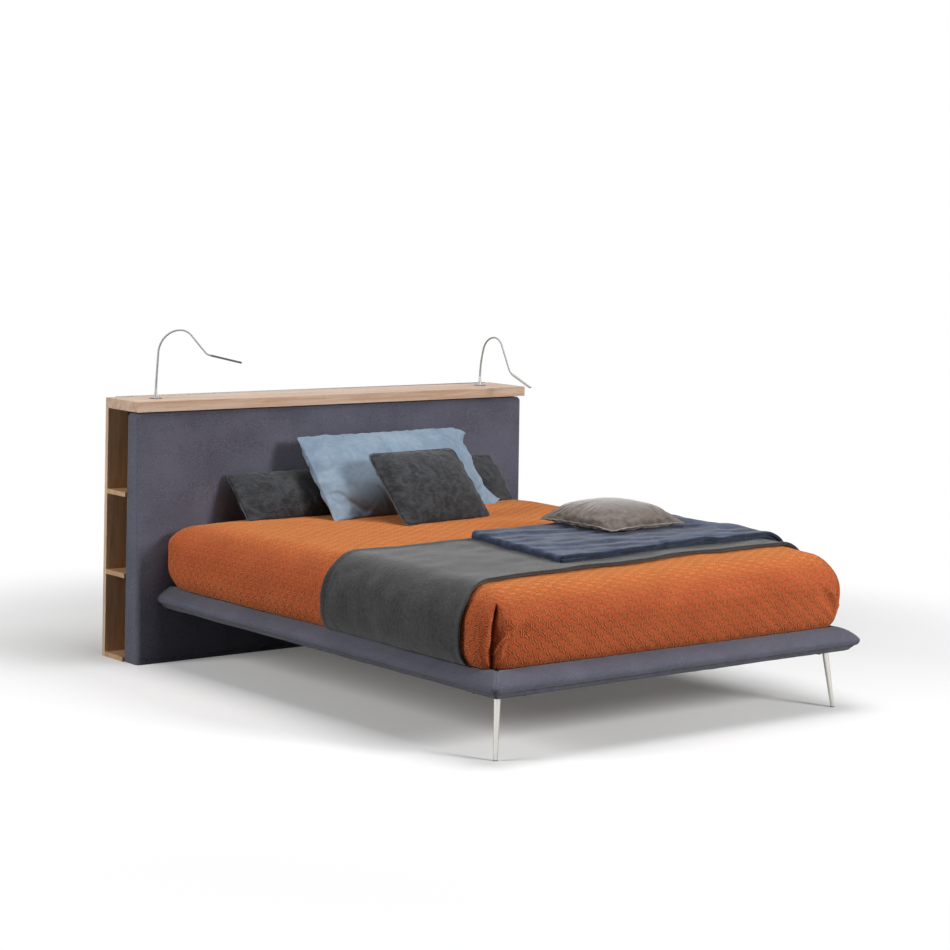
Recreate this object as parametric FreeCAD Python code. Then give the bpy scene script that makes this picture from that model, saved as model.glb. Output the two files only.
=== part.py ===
import FreeCAD, Part
import math
import os

# Double bed with a bookcase headboard.
# +X is to the right for someone at the foot, +Y points to the wall, +Z is up, in millimetres.
# The origin is on the floor, at the centre of the bookcase's footprint.

V = FreeCAD.Vector
UP = V(0, 0, 1)

# Clearances that pieces share
seat_gap = 0.3
running_clearance = 0.05

# Bookcase
case_width = 1935.0
case_depth = 240.0
case_height = 1020.0
top_thickness = 40.0
back_thickness = 20.0
base_thickness = 19.0
shelf_thickness = 18.0
upright_thickness = 18.0
lower_shelf_top = 346.0
upper_shelf_top = 663.0
bay_length = 350.0
board_edge_round = 1.5

# Grey cable strip let into the top, near its rear edge
strip_width = 9.0
strip_depth = 6.0
strip_proud = 3.0
strip_end_margin = 40.0
strip_rear_margin = 6.0

# Padded panel in front of the bookcase
panel_width = 1917.0
panel_rear_setback = 85.0
panel_top_setback = 11.0
panel_foot_proud = 9.0
panel_top_gap = 5.0
panel_edge_radius = 18.0
panel_board_thickness = 22.0
panel_board_margin = 14.0

# Dowels and screws of the bookcase
dowel_radius = 4.0
shelf_dowel_depth = 12.0
shelf_dowel_length = 30.0
top_dowel_length = 40.0
top_dowel_inset = 32.0
screw_radius = 3.5
screw_length = 50.0
screws_per_upright = 3
screw_end_inset = 90.0

# Mattress and sleeping surface
mattress_width = 1600.0
mattress_length = 2000.0
mattress_height = 258.0
mattress_rest = 285.0
mattress_corner_radius = 55.0
mattress_edge_bevel = 14.0
side_clearance = 5.0
end_clearance = 1.0

# Platform rails: a board core inside a padded bullnose
rail_core_thickness = 25.0
rail_core_bottom = 216.0
rail_core_height = 72.0
rail_pad_depth = 60.0
rail_pad_top = 298.0
rail_pad_bottom = 210.0
rail_tip_height = 256.0
rail_tip_radius = 13.0
rail_tip_half_angle = 62.0
rail_top_crown = 5.0
rail_under_crown = 4.0
head_core_drop = 5.0

# Sprung slats, their caps, ledges and the centre beam
ledge_thickness = 3.0
ledge_flange = 30.0
ledge_web = 40.0
ledge_top = 258.0
beam_width = 60.0
beam_height = 40.0
beam_wall = 2.5
saddle_wall = 3.0
saddle_length = 45.0
slat_count = 13
slat_width = 68.0
slat_thickness = 9.0
slat_camber = 12.0
cap_length = 34.0
cap_wall = 4.0
cap_roof = 3.0

# Foot corners: gusset bracket, leg plate, splayed leg and glide
bracket_thickness = 4.0
bracket_reach = 150.0
bracket_land = 21.0
bracket_edge_inset = 2.0
bolt_radius = 3.0
bolt_head_radius = 7.0
bolt_head_height = 3.5
bolt_length = 30.0
plate_size = 50.0
plate_thickness = 4.0
plate_corner_radius = 10.0
leg_inset_x = 26.0
leg_inset_y = 31.0
leg_splay_x = 23.0
leg_splay_y = 25.0
leg_top_radius = 12.0
leg_foot_radius = 7.5
glide_radius = 8.5
glide_height = 3.0
glide_chamfer = 1.0

# Bolts that hold the platform's head rail to the headboard
joint_bolt_radius = 5.0
joint_bolt_head_radius = 9.0
joint_bolt_head = 6.0
joint_bolt_spacing = (250.0, 700.0)
joint_bolt_height = 244.0
joint_bolt_bite = 14.0
joint_plate_size = 56.0
joint_plate_thickness = 3.0

# Reading lamps. Each arm is a stem, a crown and a flick at its end, in one upright plane.
lamp_end_inset = 152.5
flange_radius = 25.0
flange_height = 3.0
flange_edge = 1.0
sleeve_height = 40.0
sleeve_foot_radius = 7.0
sleeve_top_radius = 4.6
tail_radius = 5.0
nut_radius = 12.0
nut_height = 8.0
nut_thread_end = 4.0
socket_depth = 34.0
arm_radius = 3.2
arm_sides = 12
neck_pin_radius = 4.4
neck_pin_length = 8.0
head_pin_radius = 3.6
head_pin_length = 7.0
pin_clearance = 0.3
head_length = 128.0
head_width = 11.0
head_thickness = 7.0
head_end_radius = 3.0
light_length = 100.0
light_width = 7.0
light_depth = 1.5
lamps = {
    "left": {
        "side": -1, "turn": 38.0, "straight": 178.0, "lean": 0.0, "lean_radius": 0.0,
        "rise_radius": 93.0, "fall_radius": 65.0, "fall": 46.0, "run": 88.0,
        "flick_radius": 34.0, "head_drop": 10.5,
    },
    "right": {
        "side": 1, "turn": 0.0, "straight": 36.0, "lean": 18.0, "lean_radius": 400.0,
        "rise_radius": 76.0, "fall_radius": 56.0, "fall": 62.0, "run": 112.0,
        "flick_radius": 40.0, "head_drop": 21.0,
    },
}

# Bedspread, throw and folded blanket
spread_side = 54.0
spread_foot = 24.0
spread_thickness = 16.0
spread_top_radius = 60.0
spread_corner_radius = 90.0
spread_hem_radius = 34.0
spread_hem_gap = 1.0
throw_thickness = 9.0
throw_hem_gap = 2.5
throw_head = 1205.0
throw_foot_left = 1990.0
throw_foot_middle = 1885.0
throw_foot_right = 1850.0
blanket_thickness = 34.0
blanket_left = 190.0
blanket_foot_left = 1796.0
blanket_foot_right = 1755.0
blanket_side_drop = 150.0

# Cushions: width, height, thickness, lean from upright, turn about the vertical, middle along X
cushion_corner = 16.0
leaning_cushions = {
    "cushion_grey_left": {"size": (600.0, 235.0, 110.0), "lean": 42.0, "turn": 0.0, "middle": -290.0},
    "cushion_grey_right": {"size": (600.0, 235.0, 110.0), "lean": 42.0, "turn": 0.0, "middle": 470.0},
    "pillow_blue": {"size": (890.0, 415.0, 150.0), "lean": 39.0, "turn": 5.0, "middle": 125.0},
    "cushion_grey_front": {"size": (440.0, 370.0, 125.0), "lean": 45.0, "turn": 4.0, "middle": 78.0},
}
brown_size = (395.0, 395.0, 120.0)
brown_turn = 7.0
brown_place = (387.0, -1350.0)

# Places worked out from the sizes above
case_rear = case_depth / 2
case_front = -case_depth / 2
back_front = case_rear - back_thickness
case_end = case_width / 2
top_underside = case_height - top_thickness
panel_rear = case_front + panel_rear_setback
panel_top = top_underside - panel_top_gap
panel_front_top = case_front + panel_top_setback
panel_front_foot = case_front - panel_foot_proud
divider_outer = case_end - bay_length
lamp_spread = case_end - lamp_end_inset


def panel_front_at(height):
    return panel_front_foot + (panel_front_top - panel_front_foot) * height / panel_top


mattress_top = mattress_rest + mattress_height
mattress_head = panel_front_at(mattress_rest) - end_clearance
mattress_foot = mattress_head - mattress_length
rail_inner = mattress_width / 2 + side_clearance
foot_inner = mattress_foot - end_clearance
core_top = rail_core_bottom + rail_core_height
core_outer = rail_inner + rail_core_thickness
foot_core_outer = foot_inner - rail_core_thickness
head_core_rear = panel_front_at(rail_core_bottom) - seat_gap
head_core_front = head_core_rear - rail_core_thickness
slat_crown = mattress_rest - seat_gap
slat_end_top = slat_crown - slat_camber
beam_top = ledge_top
beam_bottom = beam_top - beam_height
bracket_top = rail_core_bottom
bracket_bottom = bracket_top - bracket_thickness
plate_bottom = bracket_bottom - plate_thickness
leg_x = rail_inner - leg_inset_x
leg_y = foot_inner + leg_inset_y
spread_half = mattress_width / 2 + spread_side
spread_end = mattress_foot - spread_foot
spread_top = mattress_top + spread_thickness
spread_bottom = rail_pad_top + spread_hem_gap
spread_head = panel_front_at(spread_bottom) - end_clearance


def block(x_low, x_high, y_low, y_high, z_low, z_high):
    return Part.makeBox(x_high - x_low, y_high - y_low, z_high - z_low, V(x_low, y_low, z_low))


def prism(corners, along):
    """A straight prism: a closed polygon carried along a vector."""
    return Part.Face(Part.makePolygon(list(corners) + [corners[0]])).extrude(along)


def rounded(shape, radius, keep):
    """Round the straight edges whose middle passes the test."""
    return shape.makeFillet(radius, [edge for edge in shape.Edges if keep(edge.CenterOfMass)])


def close_to(a, b):
    return abs(a - b) < 0.01


def cylinder(radius, length, start, along):
    return Part.makeCylinder(radius, length, start, along)


def hexagon(radius, centre, along):
    """A six-sided prism whose base lies across Y or Z, whichever the prism runs along."""
    corners = []
    for k in range(6):
        a = radius * math.cos(math.radians(60 * k))
        b = radius * math.sin(math.radians(60 * k))
        corners.append(centre + (V(a, 0, b) if along.y else V(a, b, 0)))
    return prism(corners, along)


def without(shape, tools):
    """Cut every tool out of a shape."""
    for tool in tools:
        shape = shape.cut(tool)
    return shape


# Bookcase


def shelf_dowels():
    """Dowels that run along Y, into the back board and into the padded panel's board."""
    dowels = []
    for side in (-1, 1):
        x = side * (case_end + divider_outer) / 2
        for shelf_top in (lower_shelf_top, upper_shelf_top):
            z = shelf_top - shelf_thickness / 2
            for y in (back_front + shelf_dowel_depth - shelf_dowel_length, panel_rear - shelf_dowel_depth):
                dowels.append(cylinder(dowel_radius, shelf_dowel_length, V(x, y, z), V(0, 1, 0)))
    return dowels


def upright_middles():
    middle = divider_outer - upright_thickness / 2
    return (-middle, 0.0, middle)


def top_dowels():
    """Upright dowels between the top board and the three uprights, half in each."""
    dowels = []
    for x in upright_middles():
        for y in (panel_rear + top_dowel_inset, back_front - top_dowel_inset):
            foot = V(x, y, top_underside - top_dowel_length / 2)
            dowels.append(cylinder(dowel_radius, top_dowel_length, foot, UP))
    return dowels


def case_screws():
    """Connecting screws, flush with the back board, that run into the three uprights."""
    screws = []
    pitch = (top_underside - 2 * screw_end_inset) / (screws_per_upright - 1)
    into = V(0, -1, 0)
    for x in upright_middles():
        for row in range(screws_per_upright):
            place = V(x, case_rear, screw_end_inset + row * pitch)
            screws.append(cylinder(screw_radius, screw_length, place, into))
    return screws


def bookcase():
    dowels = shelf_dowels()
    uprights = top_dowels()
    screws = case_screws()
    top = block(-case_end, case_end, case_front, case_rear, top_underside, case_height)
    top = rounded(top, board_edge_round, lambda p: close_to(p.z, case_height))
    strip_end = case_end - strip_end_margin
    strip_rear = case_rear - strip_rear_margin
    strip = block(-strip_end, strip_end, strip_rear - strip_width, strip_rear,
                  case_height - strip_depth, case_height + strip_proud)
    lamp_holes = [cylinder(tail_radius, top_thickness, V(side * lamp_spread, 0, top_underside), UP)
                  for side in (-1, 1)]
    parts = {
        "bookcase_top_board": without(top, [strip] + uprights + lamp_holes),
        "bookcase_cable_strip": strip,
        "bookcase_back_board": without(
            block(-case_end, case_end, back_front, case_rear, 0, top_underside), dowels + screws),
        "bookcase_base_board": block(-case_end, case_end, panel_rear, back_front, 0, base_thickness),
        "bookcase_dowels": Part.makeCompound(dowels + uprights),
        "bookcase_screws": Part.makeCompound(screws),
    }
    for name, x in zip(("divider_left", "centre_upright", "divider_right"), upright_middles()):
        upright = block(x - upright_thickness / 2, x + upright_thickness / 2, panel_rear, back_front,
                        base_thickness, top_underside)
        parts[name] = without(upright, uprights + screws)
    for side_name, side in (("left", -1), ("right", 1)):
        low, high = sorted((side * case_end, side * divider_outer))
        for level, shelf_top in (("lower", lower_shelf_top), ("upper", upper_shelf_top)):
            shelf = block(low, high, panel_rear, back_front, shelf_top - shelf_thickness, shelf_top)
            parts["shelf_" + side_name + "_" + level] = without(shelf, dowels)
    return parts


# Padded panel


def panel_envelope():
    """The panel's outer form: a slab whose front leans back, with rounded upright and top edges."""
    half = panel_width / 2
    slab = prism([V(-half, panel_front_foot, 0), V(-half, panel_front_top, panel_top),
                  V(-half, panel_rear, panel_top), V(-half, panel_rear, 0)], V(panel_width, 0, 0))

    def shows(p):
        on_top = close_to(p.z, panel_top) and p.y < panel_rear - 1
        front_upright = close_to(abs(p.x), half) and p.y < panel_front_top and 1 < p.z < panel_top - 1
        return on_top or front_upright

    return rounded(slab, panel_edge_radius, shows)


def joint_bolt_places():
    return [side * x for x in joint_bolt_spacing for side in (-1, 1)]


def joint_bolts():
    """Hexagon bolts from the head rail into the padded panel's board."""
    start_y = head_core_front - joint_plate_thickness
    end_y = panel_rear - panel_board_thickness + joint_bolt_bite
    bolts = []
    for x in joint_bolt_places():
        shank = cylinder(joint_bolt_radius, end_y - start_y, V(x, start_y, joint_bolt_height), V(0, 1, 0))
        head = hexagon(joint_bolt_head_radius, V(x, start_y, joint_bolt_height), V(0, -joint_bolt_head, 0))
        bolts.append(shank.fuse(head))
    return bolts


def padded_panel():
    half = panel_width / 2 - panel_board_margin
    board = block(-half, half, panel_rear - panel_board_thickness, panel_rear,
                  panel_board_margin, panel_top - panel_board_margin)
    bolts = joint_bolts()
    return {
        "headboard_board": without(board, shelf_dowels() + bolts),
        "headboard_upholstery": without(panel_envelope(), [board] + bolts),
    }


# Platform


def rail_section(place):
    """A padded rail's section: a gently crowned top and underside that meet in a rounded tip.

    place(out, z) puts a point that is so far out from the rail's inner face.
    """
    centre = rail_pad_depth - rail_tip_radius
    tip_x = centre + rail_tip_radius * math.cos(math.radians(rail_tip_half_angle))
    tip_z = rail_tip_radius * math.sin(math.radians(rail_tip_half_angle))

    def crowned(start, end, crown):
        run = math.hypot(end[0] - start[0], end[1] - start[1])
        middle_x = (start[0] + end[0]) / 2 - crown * (end[1] - start[1]) / run
        middle_z = (start[1] + end[1]) / 2 + crown * (end[0] - start[0]) / run
        return Part.Arc(place(*start), place(middle_x, middle_z), place(*end)).toShape()

    inner_top = (0, rail_pad_top)
    upper = (tip_x, rail_tip_height + tip_z)
    lower = (tip_x, rail_tip_height - tip_z)
    inner_bottom = (0, rail_pad_bottom)
    tip = Part.Arc(place(*upper), place(rail_pad_depth, rail_tip_height), place(*lower)).toShape()
    closing = Part.makeLine(place(*inner_bottom), place(*inner_top))
    top = crowned(inner_top, upper, rail_top_crown)
    underside = crowned(lower, inner_bottom, rail_under_crown)
    return Part.Face(Part.Wire([top, tip, underside, closing]))


def corner_bracket(side, underside):
    """A gusset under each foot corner, from a height up to the undersides of the rail cores."""
    edge_x = core_outer - bracket_edge_inset
    edge_y = foot_core_outer + bracket_edge_inset
    corners = [(edge_x, edge_y), (edge_x - bracket_reach, edge_y),
               (edge_x - bracket_reach, edge_y + bracket_land),
               (edge_x - bracket_land, edge_y + bracket_reach), (edge_x, edge_y + bracket_reach)]
    return prism([V(side * x, y, underside) for x, y in corners], V(0, 0, bracket_top - underside))


def bracket_bolts():
    """Hexagon bolts up through each bracket into the cores."""
    bolts = []
    middle_x = core_outer - rail_core_thickness / 2
    middle_y = foot_core_outer + rail_core_thickness / 2
    far_x = core_outer - bracket_reach + bracket_land
    far_y = foot_core_outer + bracket_reach - bracket_land
    for side in (-1, 1):
        for x, y in ((far_x, middle_y), (middle_x, far_y)):
            place = V(side * x, y, bracket_bottom)
            head = hexagon(bolt_head_radius, place, V(0, 0, -bolt_head_height))
            bolts.append(head.fuse(cylinder(bolt_radius, bolt_length, place, UP)))
    return bolts


def rails():
    pockets = {side: corner_bracket(side, plate_bottom) for side in (-1, 1)}
    bolts = bracket_bolts()
    envelope = panel_envelope()
    reach = rail_pad_depth + 20
    foot_zone = prism([V(-rail_inner, foot_inner, 0), V(rail_inner, foot_inner, 0),
                       V(rail_inner + reach, foot_inner - reach, 0),
                       V(-rail_inner - reach, foot_inner - reach, 0)], V(0, 0, case_height))
    parts = {}
    foot_core = block(-core_outer, core_outer, foot_core_outer, foot_inner, rail_core_bottom, core_top)
    head_core = block(-rail_inner, rail_inner, head_core_front, head_core_rear, rail_core_bottom,
                      mattress_rest - head_core_drop)
    parts["rail_core_foot"] = without(foot_core, bolts)
    parts["rail_core_head"] = without(head_core, joint_bolts())
    for name, side in (("left", -1), ("right", 1)):
        low, high = sorted((side * rail_inner, side * core_outer))
        core = block(low, high, foot_inner, head_core_rear, rail_core_bottom, core_top)
        section = rail_section(lambda out, z: V(side * (rail_inner + out), foot_inner - reach, z))
        pad = section.extrude(V(0, panel_rear - foot_inner + reach, 0))
        pad = without(pad, [foot_zone, envelope, core, foot_core, pockets[side]])
        parts["rail_core_" + name] = without(core, bolts)
        parts["rail_pad_" + name] = max(pad.Solids, key=lambda solid: solid.Volume)
    section = rail_section(lambda out, z: V(-rail_inner - reach, foot_inner - out, z))
    pad = section.extrude(V(2 * (rail_inner + reach), 0, 0)).common(foot_zone)
    pad = without(pad, [foot_core, pockets[-1], pockets[1]])
    parts["rail_pad_foot"] = max(pad.Solids, key=lambda solid: solid.Volume)
    parts["corner_brackets"] = Part.makeCompound(
        [without(corner_bracket(side, bracket_bottom), bolts) for side in (-1, 1)])
    parts["bracket_bolts"] = Part.makeCompound(bolts)
    return parts


def slat(side, y_low):
    """A cambered strip of laminated wood, crowned at its middle."""
    inner = cap_wall + seat_gap
    outer = rail_inner - ledge_thickness - cap_wall - seat_gap
    middle = (inner + outer) / 2
    edges = []
    for drop in (0, slat_thickness):
        bow = Part.Arc(V(side * inner, y_low, slat_end_top - drop), V(side * middle, y_low, slat_crown - drop),
                       V(side * outer, y_low, slat_end_top - drop))
        edges.append(bow.toShape())
    for x in (inner, outer):
        end_bottom = V(side * x, y_low, slat_end_top - slat_thickness)
        edges.append(Part.makeLine(end_bottom, V(side * x, y_low, slat_end_top)))
    section = Part.Face(Part.Wire(Part.__sortEdges__(edges)))
    return section.extrude(V(0, slat_width, 0))


def slat_cap(side, x_low, strip, y_low):
    """A rubber cap that holds one end of a slat, on a ledge or on the beam."""
    low, high = sorted((side * x_low, side * (x_low + cap_length)))
    body = block(low, high, y_low - cap_wall, y_low + slat_width + cap_wall, ledge_top,
                 slat_end_top + cap_roof)
    return body.cut(strip)


def sleeping_base():
    first = foot_inner
    last = head_core_front
    pitch = (last - first) / slat_count
    outer_cap = rail_inner - ledge_thickness - cap_length
    parts = {}
    caps = []
    for name, side in (("left", -1), ("right", 1)):
        strips = []
        for k in range(slat_count):
            y_low = first + (k + 0.5) * pitch - slat_width / 2
            strip = slat(side, y_low)
            strips.append(strip)
            caps += [slat_cap(side, seat_gap, strip, y_low), slat_cap(side, outer_cap, strip, y_low)]
        parts["slats_" + name] = Part.makeCompound(strips)
        web_low, web_high = sorted((side * rail_inner, side * (rail_inner - ledge_thickness)))
        web = block(web_low, web_high, first, last, ledge_top - ledge_web, ledge_top)
        low, high = sorted((side * rail_inner, side * (rail_inner - ledge_thickness - ledge_flange)))
        parts["slat_ledge_" + name] = web.fuse(
            block(low, high, first, last, ledge_top - ledge_thickness, ledge_top)).removeSplitter()
    parts["slat_caps"] = Part.makeCompound(caps)
    half = beam_width / 2
    beam = block(-half, half, first + saddle_wall, last - saddle_wall, beam_bottom, beam_top)
    hollow = block(beam_wall - half, half - beam_wall, first, last,
                   beam_bottom + beam_wall, beam_top - beam_wall)
    parts["centre_beam"] = beam.cut(hollow)
    saddles = []
    for start, end in ((first, first + saddle_length), (last - saddle_length, last)):
        cradle = block(-half - saddle_wall, half + saddle_wall, start, end, beam_bottom - saddle_wall,
                       beam_top - beam_wall)
        saddles.append(cradle.cut(beam))
    parts["beam_saddles"] = Part.makeCompound(saddles)
    return parts


def headboard_joint():
    """The bolts and the plates under their heads, on the front of the head rail."""
    bolts = joint_bolts()
    half = joint_plate_size / 2
    top = min(joint_bolt_height + half, mattress_rest - head_core_drop)
    plates = []
    for x in joint_bolt_places():
        plate = block(x - half, x + half, head_core_front - joint_plate_thickness, head_core_front,
                      joint_bolt_height - (top - joint_bolt_height), top)
        plates.append(without(plate, bolts))
    return {"joint_plates": Part.makeCompound(plates), "joint_bolts": Part.makeCompound(bolts)}


def legs():
    cones = []
    glides = []
    plates = []
    lean = V(leg_splay_x, -leg_splay_y, glide_height - plate_bottom)
    leg_overrun = 0.05
    for side in (-1, 1):
        top = V(side * leg_x, leg_y, plate_bottom)
        axis = V(side * lean.x, lean.y, lean.z)
        half = plate_size / 2
        plate = block(top.x - half, top.x + half, top.y - half, top.y + half, plate_bottom, bracket_bottom)
        middle = plate_bottom + plate_thickness / 2
        plates.append(rounded(plate, plate_corner_radius, lambda p: close_to(p.z, middle)))
        # The taper is drawn past both ends, then cut level where it meets the plate and the glide.
        start = top - axis * leg_overrun
        length = axis.Length * (1 + 2 * leg_overrun)
        cone = Part.makeCone(leg_top_radius, leg_foot_radius, length, start, axis)
        foot = top + axis
        level = block(foot.x - plate_size, foot.x + plate_size, foot.y - plate_size, foot.y + plate_size,
                      glide_height, plate_bottom)
        cones.append(cone.common(level))
        glide = cylinder(glide_radius, glide_height, V(foot.x, foot.y, 0), UP)
        rim = [edge for edge in glide.Edges if close_to(edge.CenterOfMass.z, 0)]
        glides.append(glide.makeChamfer(glide_chamfer, rim))
    return {"legs": Part.makeCompound(cones), "leg_plates": Part.makeCompound(plates),
            "leg_glides": Part.makeCompound(glides)}


# Reading lamps


def lamp_route(lamp):
    """The arm's centre line in its own plane, as two chains of lines and arcs that meet at the crown.

    The heading is counted from upright towards the bed.
    """
    chains = ([], [])
    at = V(0, 0, sleeve_height - socket_depth)
    heading = 0.0

    def ahead(angle):
        return V(math.sin(math.radians(angle)), 0, math.cos(math.radians(angle)))

    def straight(chain, length):
        nonlocal at
        end = at + ahead(heading) * length
        chain.append(Part.makeLine(at, end))
        at = end

    def bend(chain, radius, new_heading):
        nonlocal at, heading
        turn = 1 if new_heading > heading else -1
        centre = at + ahead(heading + 90 * turn) * radius
        middle = centre - ahead((heading + new_heading) / 2 + 90 * turn) * radius
        end = centre - ahead(new_heading + 90 * turn) * radius
        chain.append(Part.Arc(at, middle, end).toShape())
        at = end
        heading = new_heading

    rise, fall = chains
    straight(rise, lamp["straight"] + socket_depth - sleeve_height)
    if lamp["lean"] > 0:
        bend(rise, lamp["lean_radius"], lamp["lean"])
    bend(rise, lamp["rise_radius"], 90.0)
    crown = at
    bend(fall, lamp["fall_radius"], 90.0 + lamp["fall"])
    straight(fall, lamp["run"])
    bend(fall, lamp["flick_radius"], 90.0 + lamp["head_drop"])
    return chains, crown, at, heading


def sheath(chain, start, sideways):
    """The arm's ribbed sheath, a bar of many flats carried along a chain of tangent edges."""
    corners = []
    for k in range(arm_sides + 1):
        angle = math.radians(360 * (k + 0.5) / arm_sides)
        across = V(0, arm_radius * math.sin(angle), 0)
        corners.append(start + sideways * (arm_radius * math.cos(angle)) + across)
    return Part.Wire(chain).makePipeShell([Part.makePolygon(corners)], True, False)


def cross_pin(radius, length, centre):
    """A short pin across the arm's plane, on which the next piece bends."""
    return cylinder(radius, length, centre - V(0, length / 2, 0), V(0, 1, 0))


def reading_lamp(lamp):
    (rise, fall), crown, tip, heading = lamp_route(lamp)
    foot = V(0, 0, sleeve_height - socket_depth)
    lower = sheath(rise, foot, V(1, 0, 0)).fuse(cross_pin(neck_pin_radius, neck_pin_length, crown))
    eye = cross_pin(neck_pin_radius + pin_clearance, 2 * neck_pin_length, crown)
    upper = max(sheath(fall, crown, UP).cut(eye).Solids, key=lambda solid: solid.Volume)
    upper = upper.fuse(cross_pin(head_pin_radius, head_pin_length, tip))

    # The head is drawn level, along +X from the arm's tip, then turned down to its slope.
    start = tip.x + head_pin_radius + pin_clearance
    bar = block(start, start + head_length, -head_width / 2, head_width / 2,
                tip.z - head_thickness / 2, tip.z + head_thickness / 2)
    bar = rounded(bar, head_end_radius, lambda p: close_to(abs(p.y), head_width / 2) and p.z > tip.z)
    light_start = start + (head_length - light_length) * 0.75
    light = block(light_start, light_start + light_length, -light_width / 2, light_width / 2,
                  tip.z - head_thickness / 2, tip.z - head_thickness / 2 + light_depth)
    bar = bar.cut(light)
    for piece in (bar, light):
        piece.rotate(tip, V(0, 1, 0), heading - 90.0)

    bore = arm_radius + running_clearance
    tail_end = -top_thickness - nut_height - nut_thread_end
    outline = [V(0, 0, tail_end), V(tail_radius, 0, tail_end), V(tail_radius, 0, flange_height),
               V(sleeve_foot_radius, 0, flange_height), V(sleeve_top_radius, 0, sleeve_height),
               V(bore, 0, sleeve_height), V(bore, 0, sleeve_height - socket_depth - seat_gap),
               V(0, 0, sleeve_height - socket_depth - seat_gap), V(0, 0, tail_end)]
    sleeve = Part.Face(Part.makePolygon(outline)).revolve(V(0, 0, 0), UP, 360)
    flange = cylinder(flange_radius, flange_height, V(0, 0, 0), UP)
    rim = [edge for edge in flange.Edges if close_to(edge.CenterOfMass.z, flange_height)]
    flange = flange.makeChamfer(flange_edge, rim).cut(sleeve)
    nut = hexagon(nut_radius, V(0, 0, -top_thickness), V(0, 0, -nut_height)).cut(sleeve)
    parts = {"flange": flange, "sleeve": sleeve, "nut": nut, "arm_lower": lower, "arm_upper": upper,
             "head": bar, "light": light}
    for piece in parts.values():
        piece.rotate(V(0, 0, 0), UP, lamp["turn"] - 90.0)
        piece.translate(V(lamp["side"] * lamp_spread, 0, case_height))
    return parts


# Bedding


def soft_block(half, y_foot, y_head, z_low, z_high, corner, top_edge, low_edge):
    """A block with round upright foot corners and softly rounded top and bottom edges."""
    body = block(-half, half, y_foot, y_head, z_low, z_high)
    middle = (z_low + z_high) / 2
    body = rounded(body, corner, lambda p: close_to(p.z, middle) and close_to(p.y, y_foot))
    body = rounded(body, top_edge, lambda p: close_to(p.z, z_high) and p.y < y_head - 1)
    return rounded(body, low_edge, lambda p: close_to(p.z, z_low) and p.y < y_head - 1)


def wrap_face(inner, outer, x_left, x_right, z_left, z_right):
    """Section of a cloth that lies over the bedspread, in the XZ plane.

    inner and outer are the cloth's two faces, counted out from the bedspread. An end on the top
    is given by its x, an end that hangs at a side by its z.
    """

    def run(offset):
        half = spread_half + offset
        top = spread_top + offset
        radius = spread_top_radius + offset
        bow = radius * (1 - math.sqrt(0.5))
        edges = []
        places = []
        if z_left is None:
            places.append(V(x_left, 0, top))
        else:
            places += [V(-half, 0, z_left), V(-half, 0, top - radius)]
            edges.append(Part.makeLine(places[0], places[1]))
            places.append(V(radius - half, 0, top))
            edges.append(Part.Arc(places[1], V(bow - half, 0, top - bow), places[2]).toShape())
        if z_right is None:
            edges.append(Part.makeLine(places[-1], V(x_right, 0, top)))
            return edges, places[0], V(x_right, 0, top)
        edges.append(Part.makeLine(places[-1], V(half - radius, 0, top)))
        shoulder = V(half, 0, top - radius)
        edges.append(Part.Arc(V(half - radius, 0, top), V(half - bow, 0, top - bow), shoulder).toShape())
        edges.append(Part.makeLine(shoulder, V(half, 0, z_right)))
        return edges, places[0], V(half, 0, z_right)

    inner_edges, inner_start, inner_end = run(inner)
    outer_edges, outer_start, outer_end = run(outer)
    ends = [Part.makeLine(inner_start, outer_start), Part.makeLine(inner_end, outer_end)]
    return Part.Face(Part.Wire(Part.__sortEdges__(inner_edges + outer_edges + ends)))


def laid_cloth(section, plan):
    """A section swept along the bed and trimmed to an outline seen from above."""
    length = mattress_length * 1.5
    section.translate(V(0, -length, 0))
    cloth = section.extrude(V(0, length, 0))
    cutter = prism([V(x, y, 0) for x, y in plan], V(0, 0, case_height))
    return cloth.common(cutter)


def cushion(width, height, thickness):
    """A plain filled cover, fullest in the middle and thin at its seams, standing on its lower edge."""
    sections = []
    for depth, share in ((-0.5, 0.5), (-0.3, 0.84), (0, 1.0), (0.3, 0.84), (0.5, 0.5)):
        half_w = width / 2 * share
        half_h = height / 2 * share
        corners = [(-half_w, -half_h), (half_w, -half_h), (half_w, half_h), (-half_w, half_h)]
        y = depth * thickness
        places = []
        for k, (x, z) in enumerate(corners):
            last_x, last_z = corners[k - 1]
            next_x, next_z = corners[(k + 1) % 4]
            for other_x, other_z in ((last_x, last_z), (next_x, next_z)):
                share_back = cushion_corner / math.hypot(other_x - x, other_z - z)
                places.append(V(x + (other_x - x) * share_back, y, z + (other_z - z) * share_back))
        sections.append(places + [places[0]])
    faces = [Part.Face(Part.makePolygon(places)) for places in (sections[0], sections[-1])]
    for near, far in zip(sections, sections[1:]):
        for k in range(len(near) - 1):
            faces.append(Part.Face(Part.makePolygon([near[k], near[k + 1], far[k + 1], far[k], near[k]])))
    return Part.makeSolid(Part.makeShell(faces))


def slide_to(piece, neighbours, direction):
    """Move a piece along a direction until it lies the seat gap away from the nearest neighbour."""
    for _ in range(12):
        gap = min(piece.distToShape(other)[0] for other in neighbours)
        if gap < seat_gap * 1.2:
            break
        piece.translate(direction * (gap - seat_gap))
    return piece


def leaning_cushion(spec, behind, below):
    """A cushion that stands on the bed and leans back on what is behind it."""
    piece = cushion(*spec["size"])
    piece.rotate(V(0, 0, 0), V(1, 0, 0), -spec["lean"])
    piece.rotate(V(0, 0, 0), UP, spec["turn"])
    box = piece.BoundBox
    well_clear = 2 * spec["size"][1]
    lowest = V(spec["middle"], mattress_head - well_clear, below + seat_gap - box.ZMin)
    piece.translate(lowest)
    return slide_to(piece, behind, V(0, 1, 0))


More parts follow.
